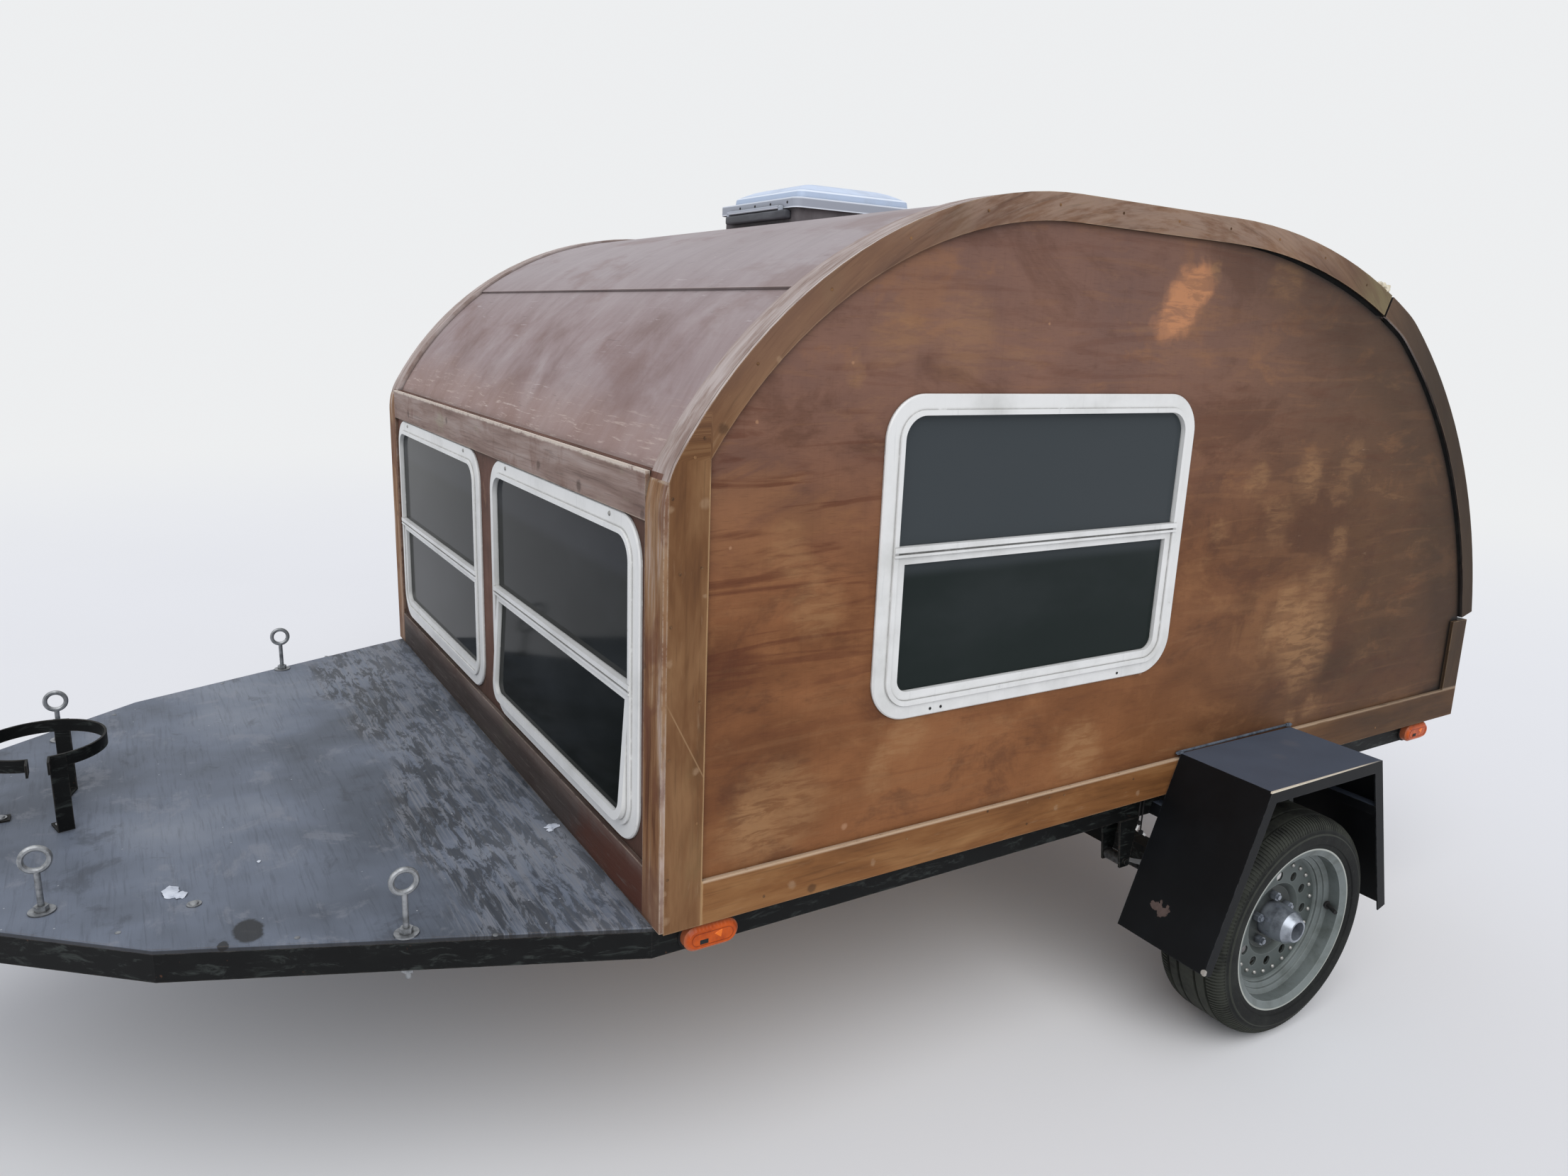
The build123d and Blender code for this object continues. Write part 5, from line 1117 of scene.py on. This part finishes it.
def cable_ties():
    """Two black ties round the left rail where the fender starts, with pale tails that stick out."""
    low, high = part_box("rail_left")
    bands, tails = bmesh.new(), bmesh.new()
    # Columns: x, height of the tail under the rail, its lean from upright
    for x, drop, lean in ((-0.899, 0.014, -28.0), (-0.911, 0.040, 56.0)):
        gap = 0.0012
        bottom = low.z - drop - 0.006
        outer = [(low.y - gap, high.z - 0.004), (low.y - gap, bottom), (high.y + gap, bottom),
                 (high.y + gap, high.z - 0.004)]
        verts = [bands.verts.new((x, y, z)) for y, z in outer]
        line = [bands.edges.new(pair) for pair in zip(verts, verts[1:])]
        for vert in verts_in(bmesh.ops.extrude_edge_only(bands, edges=line)["geom"]):
            vert.co.x += 0.0045
        block(bands, (x + 0.002, high.y + 0.003, low.z - drop), (0.007, 0.006, 0.007))
        turn = Matrix.Rotation(radians(lean), 4, "Y")
        root = Matrix.Translation((x + 0.002, high.y + 0.0055, low.z - drop)) @ turn
        bmesh.ops.create_cube(tails, size=1.0, matrix=root @ Matrix.Translation((0, 0, -0.008))
                              @ Matrix.Diagonal((0.0050, 0.0014, 0.018, 1.0)))
    made = add_piece("cable_ties", bands, "gasket")
    thicken = made.modifiers.new("thickness", "SOLIDIFY")
    thicken.thickness = 0.0012
    thicken.offset = 1.0
    add_piece("cable_tie_tails", tails, "window_white")


def bolt(shape, place, washer, sides):
    """Adds a domed head on a washer."""
    washer_thickness = 0.0016
    disc(shape, facing(place, UP), washer, washer_thickness, sides)
    dome(shape, facing(place + Vector((0, 0, washer_thickness)), UP), 0.0075, 0.0045)


def deck_point(x, y, lift=0.0):
    """A point on the deck, measured from the front boards' face."""
    return Vector((FRONT_X + x, y, DECK_TOP + lift))


def deck_fasteners():
    """Carriage bolt on a washer, the bracket's bolts, and the small screws that hold the deck."""
    shape = bmesh.new()
    bolt(shape, deck_point(0.650, 0.504), 0.0115, 24)
    ring_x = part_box("cylinder_bracket")[1].x - 0.110
    for angle in (0.0, 106.0, 254.0):
        reach = Vector((cos(radians(angle)), sin(radians(angle)), 0.0)) * 0.079
        bolt(shape, Vector((ring_x, 0.0, DECK_TOP + 0.004)) + reach, 0.0105, 20)
    for x, y in ((0.235, 0.828), (0.515, 0.690), (0.060, 0.62), (0.060, 0.20), (0.060, -0.25),
                 (0.060, -0.68), (0.235, -0.828), (0.515, -0.690), (0.760, 0.545), (1.02, 0.34),
                 (0.760, -0.545), (1.02, -0.34)):
        screw(shape, facing(deck_point(x, y), UP), 0.0045, 0.0012)
    add_piece("deck_fasteners", shape, "zinc")


def deck_flakes():
    """Torn flakes of old white paint that lie on the deck, one by the wall and some ahead of it."""
    shape = bmesh.new()
    # Columns: x and y on the deck, half sizes
    for index, (x, y, size) in enumerate((
            (0.023, 0.499, (0.014, 0.009, 0.0022)), (0.031, 0.512, (0.007, 0.006, 0.0018)),
            (0.682, 0.444, (0.012, 0.020, 0.0024)), (0.668, 0.462, (0.009, 0.011, 0.0020)),
            (0.540, 0.395, (0.003, 0.004, 0.0012)), (0.300, 0.560, (0.0025, 0.0035, 0.0010)))):
        lump(shape, deck_point(x, y, size[2] * 0.6), size, 20.0 + index * 2.7)
    add_piece("deck_flakes", shape, "paint_flake")


def oval(shape, centre, outward, length, height, thickness, inner=0.0):
    """Adds a flat plate with round ends that faces outward along Y, or a ring as wide as inner."""
    ring = bmesh.ops.create_circle(shape, cap_ends=True, segments=36, radius=height / 2,
                                   matrix=facing(centre, (0, outward, 0)))["verts"]
    for vert in ring:
        vert.co.x += (length - height) / 2 if vert.co.x > centre[0] else (height - length) / 2
    faces = list({face for vert in ring for face in vert.link_faces})
    if inner:
        middle = faces
        faces = bmesh.ops.inset_region(shape, faces=middle, thickness=inner, use_boundary=True)["faces"]
        bmesh.ops.delete(shape, geom=middle, context="FACES")
    grown = verts_in(bmesh.ops.extrude_face_region(shape, geom=faces)["geom"])
    bmesh.ops.translate(shape, verts=grown, vec=(0, outward * thickness, 0))


def marker_lamp_parts():
    """Base plates behind the marker lamps; on each lens a raised oval line, a dark window and a prism."""
    low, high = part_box("marker_lamps")
    rail_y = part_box("rail_left")[1].y
    half = 0.052
    middle_z = (low.z + high.z) / 2
    bases, lines, windows, prisms = bmesh.new(), bmesh.new(), bmesh.new(), bmesh.new()
    for middle_x in (high.x - half, low.x + half):
        for side in (-1, 1):
            face_y = side * (high.y - 0.0004)
            oval(bases, (middle_x, side * (rail_y + 0.0002), middle_z), side, 0.112, 0.0525, 0.0030)
            oval(lines, (middle_x, face_y, middle_z), side, 0.080, 0.0240, 0.0009, 0.0013)
            block(windows, (middle_x + 0.0165, face_y, middle_z - 0.005), (0.016, 0.0020, 0.0082), 0.0006)
            middle = Vector((middle_x - 0.0125, face_y, middle_z + 0.0035))
            turned = facing(middle, (0, side, 0)) @ Matrix.Rotation(radians(200.0), 4, "Z")
            bmesh.ops.create_cone(prisms, cap_ends=True, segments=3, radius1=0.0115, radius2=0.0085,
                                  depth=0.0024, matrix=turned)
    add_piece("marker_lamp_bases", bases, "gasket")
    add_piece("marker_lamp_lines", lines, "amber_line")
    add_piece("marker_lamp_windows", windows, "gasket")
    add_piece("marker_lamp_prisms", prisms, "prism")


def vent_parts():
    """Dark cover under the front of the vent's lid, and the small screws in the lid's front skirt."""
    lid_low, lid_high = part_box("vent_lid")
    base_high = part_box("vent_base")[1]
    skirt_x = lid_high.x - 0.010
    shape = bmesh.new()
    block(shape, (base_high.x - 0.0085, 0.0085, lid_low.z - 0.0118), (0.0218, 0.287, 0.0205), 0.0055)
    add_piece("vent_cover", shape, "cover")
    shape = bmesh.new()
    for y in (-0.077, -0.003, 0.071, 0.148):
        screw(shape, facing((skirt_x, y, lid_low.z + 0.0145), AHEAD), 0.0030, 0.0016)
    add_piece("vent_screws", shape, "gasket", "vent_lid")


def fender_sealant():
    """Bead of sealant where the fender's top meets the side panel, with a lump at its rear corner."""
    front_x, rear_x, top = FRONT_X - 1.277, FRONT_X - 1.682, FENDER_HIGH.z
    for side, name in SIDES:
        shape = bmesh.new()
        disc(shape, facing((rear_x, side * (PANEL_Y + 0.0005), top), AHEAD), 0.0032, front_x - rear_x, 10)
        y = side * (PANEL_Y + 0.004)
        lump(shape, (rear_x + 0.004, y, top + 0.001), (0.011, 0.006, 0.004), 5.0 + side)
        lump(shape, (front_x - 0.002, y, top), (0.010, 0.006, 0.004), 9.0 + side)
        add_piece(f"fender_sealant_{name}", shape, "grey_sealant")


def hinge_screws():
    """Countersunk screws in the leaves of the hatch's strap hinge and of the door's hinges."""
    # Columns: node, body, share of the node's length behind the screws
    for node, body, share in (("hatch_hinge_leaf", "trailer", 0.72), ("hatch_hinge_flap", "hatch", 0.25),
                              ("door_hinge_leaves", "trailer", 0.70), ("door_hinge_flaps", "door", 0.30)):
        low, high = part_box(node)
        x = low.x + (high.x - low.x) * share
        if node.startswith("hatch"):
            starts = [(x, -0.81 + 0.135 * index, 2.5) for index in range(13)]
            inward, radius = (0, 0, -1), 0.0048
        else:
            starts = [(x, -2.5, middle + offset) for middle in (low.z + 0.045, high.z - 0.045)
                      for offset in (-0.030, 0.0, 0.030)]
            inward, radius = LEFT, 0.0045
        tree = trees_of(node)
        shape = bmesh.new()
        for start in starts:
            screw(shape, facing(*on_surface(tree, start, inward)), radius, 0.0012)
        add_piece(f"{node}_screws", shape, "zinc", body)


def vent_lid_shell():
    """Moulded lid of the vent: a skirt, a ledge, a crowned dome with soft edges, and a hinge knuckle."""
    low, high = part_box("vent_lid")
    knuckle = 0.005
    half = (high.x - 2 * knuckle - low.x) / 2
    middle_x = low.x + half
    skirt_low, skirt_top = low.z + 0.002, low.z + LID_SKIRT
    shape = bmesh.new()
    block(shape, (middle_x, 0.0, (skirt_low + skirt_top) / 2), (2 * half, 2 * half, skirt_top - skirt_low))
    upright = [edge for edge in shape.edges if abs(edge.verts[0].co.z - edge.verts[1].co.z) > 0.01]
    round_edges(shape, upright, 0.020, 6)
    top = max(shape.faces, key=lambda face: face.calc_center_median().z)
    bottom = min(shape.faces, key=lambda face: face.calc_center_median().z)
    # Columns: half width, height above the skirt
    reach = half
    for width, height in ((half - 0.0012, 0.0009), (half - 0.0030, 0.0013), (half - 0.0240, 0.0016),
                          (half - 0.0252, 0.0030), (half - 0.0268, 0.0165), (half - 0.0282, 0.0190),
                          (half - 0.0320, 0.0214), (0.140, 0.0282), (0.124, 0.0350), (0.106, 0.0400),
                          (0.085, 0.0436), (0.060, 0.0454), (0.030, 0.0460)):
        bmesh.ops.inset_individual(shape, faces=[top], thickness=0.0)
        share = width / reach
        bmesh.ops.scale(shape, verts=top.verts, vec=(share, share, 1.0),
                        space=Matrix.Translation((-middle_x, 0, 0)))
        for vert in top.verts:
            vert.co.z = skirt_top + height
        reach = width
    bmesh.ops.delete(shape, geom=[bottom], context="FACES")
    bmesh.ops.recalc_face_normals(shape, faces=shape.faces)
    bmesh.ops.solidify(shape, geom=list(shape.faces), thickness=0.003)
    axis = Vector((high.x - knuckle, -0.120, low.z + knuckle))
    disc(shape, facing(axis, LEFT), knuckle, 0.240, 20)
    block(shape, (axis.x - 0.004, 0.0, axis.z + 0.0015), (0.006, 0.240, 0.005))
    lid = add_piece("vent_lid_shell", shape, "vent_white", "vent_lid")
    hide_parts("vent_lid")


for wheel_side, wheel_name in SIDES:
    make_tyre(wheel_side, wheel_name)
for wheel_side, wheel_name in SIDES:
    rim_trim(wheel_side, wheel_name)
window_screws()
nails()
hinge_sealant()
arch_shadow_strips()
cable_ties()
deck_fasteners()
deck_flakes()
marker_lamp_parts()
vent_lid_shell()
vent_parts()
fender_sealant()
hinge_screws()


# Stage, light and camera

BACKDROP = linear(0.93, 0.935, 0.94)


def stage():
    """A pale floor that keeps the trailer's shadow and fades into the backdrop far away."""
    shape = bmesh.new()
    bmesh.ops.create_grid(shape, x_segments=1, y_segments=1, size=60.0)
    floor = mesh_object("floor_sheet", shape)
    f = Finish("floor_pale")
    tone = f.noise(0.8, 2.0, 0.5)
    color = f.mix(tone, (0.925, 0.925, 0.925), (0.915, 0.915, 0.915))
    near = f.node("ShaderNodeBsdfDiffuse", {}, {"Color": color})
    far = f.node("ShaderNodeEmission", {}, {"Color": BACKDROP, "Strength": 1.0})
    distance = (f.x * f.x + f.y * f.y).maths("SQRT")
    share = f.node("ShaderNodeMixShader", {}, {0: distance.rise(3.5, 11.0), 1: near, 2: far})
    f.node("ShaderNodeOutputMaterial", {}, {"Surface": share}, None)
    floor.data.materials.append(f.material)


def lights():
    """Even studio light from all round, and one broad soft lamp from the front left."""
    f = Finish("studio", "worlds")
    plain = f.node("ShaderNodeBackground", {}, {"Color": linear(0.94, 0.955, 1.0), "Strength": 0.62})
    seen = f.node("ShaderNodeBackground", {}, {"Color": BACKDROP, "Strength": 1.0})
    rays = [f.node("ShaderNodeLightPath", {}, {}, f"Is {kind} Ray")
            for kind in ("Camera", "Glossy", "Transmission")]
    share = rays[0].maths("MAXIMUM", rays[1]).maths("MAXIMUM", rays[2])
    share = f.node("ShaderNodeMixShader", {}, {0: share, 1: plain, 2: seen})
    f.node("ShaderNodeOutputWorld", {}, {"Surface": share}, None)
    bpy.context.scene.world = f.material
    light = bpy.data.lights.new("soft_lamp", "SUN")
    light.angle = radians(60.0)
    light.energy = 1.7
    new_object("soft_lamp", light).matrix_world = facing((0, 0, 0), (0.45, 0.75, 1.0))


def camera():
    """The photograph's camera, solved from the cabin's edges."""
    lens_data = bpy.data.cameras.new("photo_camera")
    lens_data.sensor_width = 36.0
    lens_data.lens = 24.695
    lens_data.clip_end = 200.0
    yaw, pitch, roll = radians(-121.815), radians(13.729), radians(2.273)
    forward = Vector((cos(yaw) * cos(pitch), sin(yaw) * cos(pitch), -sin(pitch)))
    right = Vector((sin(yaw), -cos(yaw), 0.0))
    up = right.cross(forward)
    right, up = cos(roll) * right + sin(roll) * up, -sin(roll) * right + cos(roll) * up
    made = new_object("photo_camera", lens_data)
    axes = Matrix((right, up, -forward)).transposed().to_4x4()
    made.matrix_world = Matrix.Translation((FRONT_X + 0.6807, 2.3967, BODY_LOW + 0.9895)) @ axes
    bpy.context.scene.camera = made


stage()
lights()
camera()
bpy.context.scene.view_settings.view_transform = "Standard"
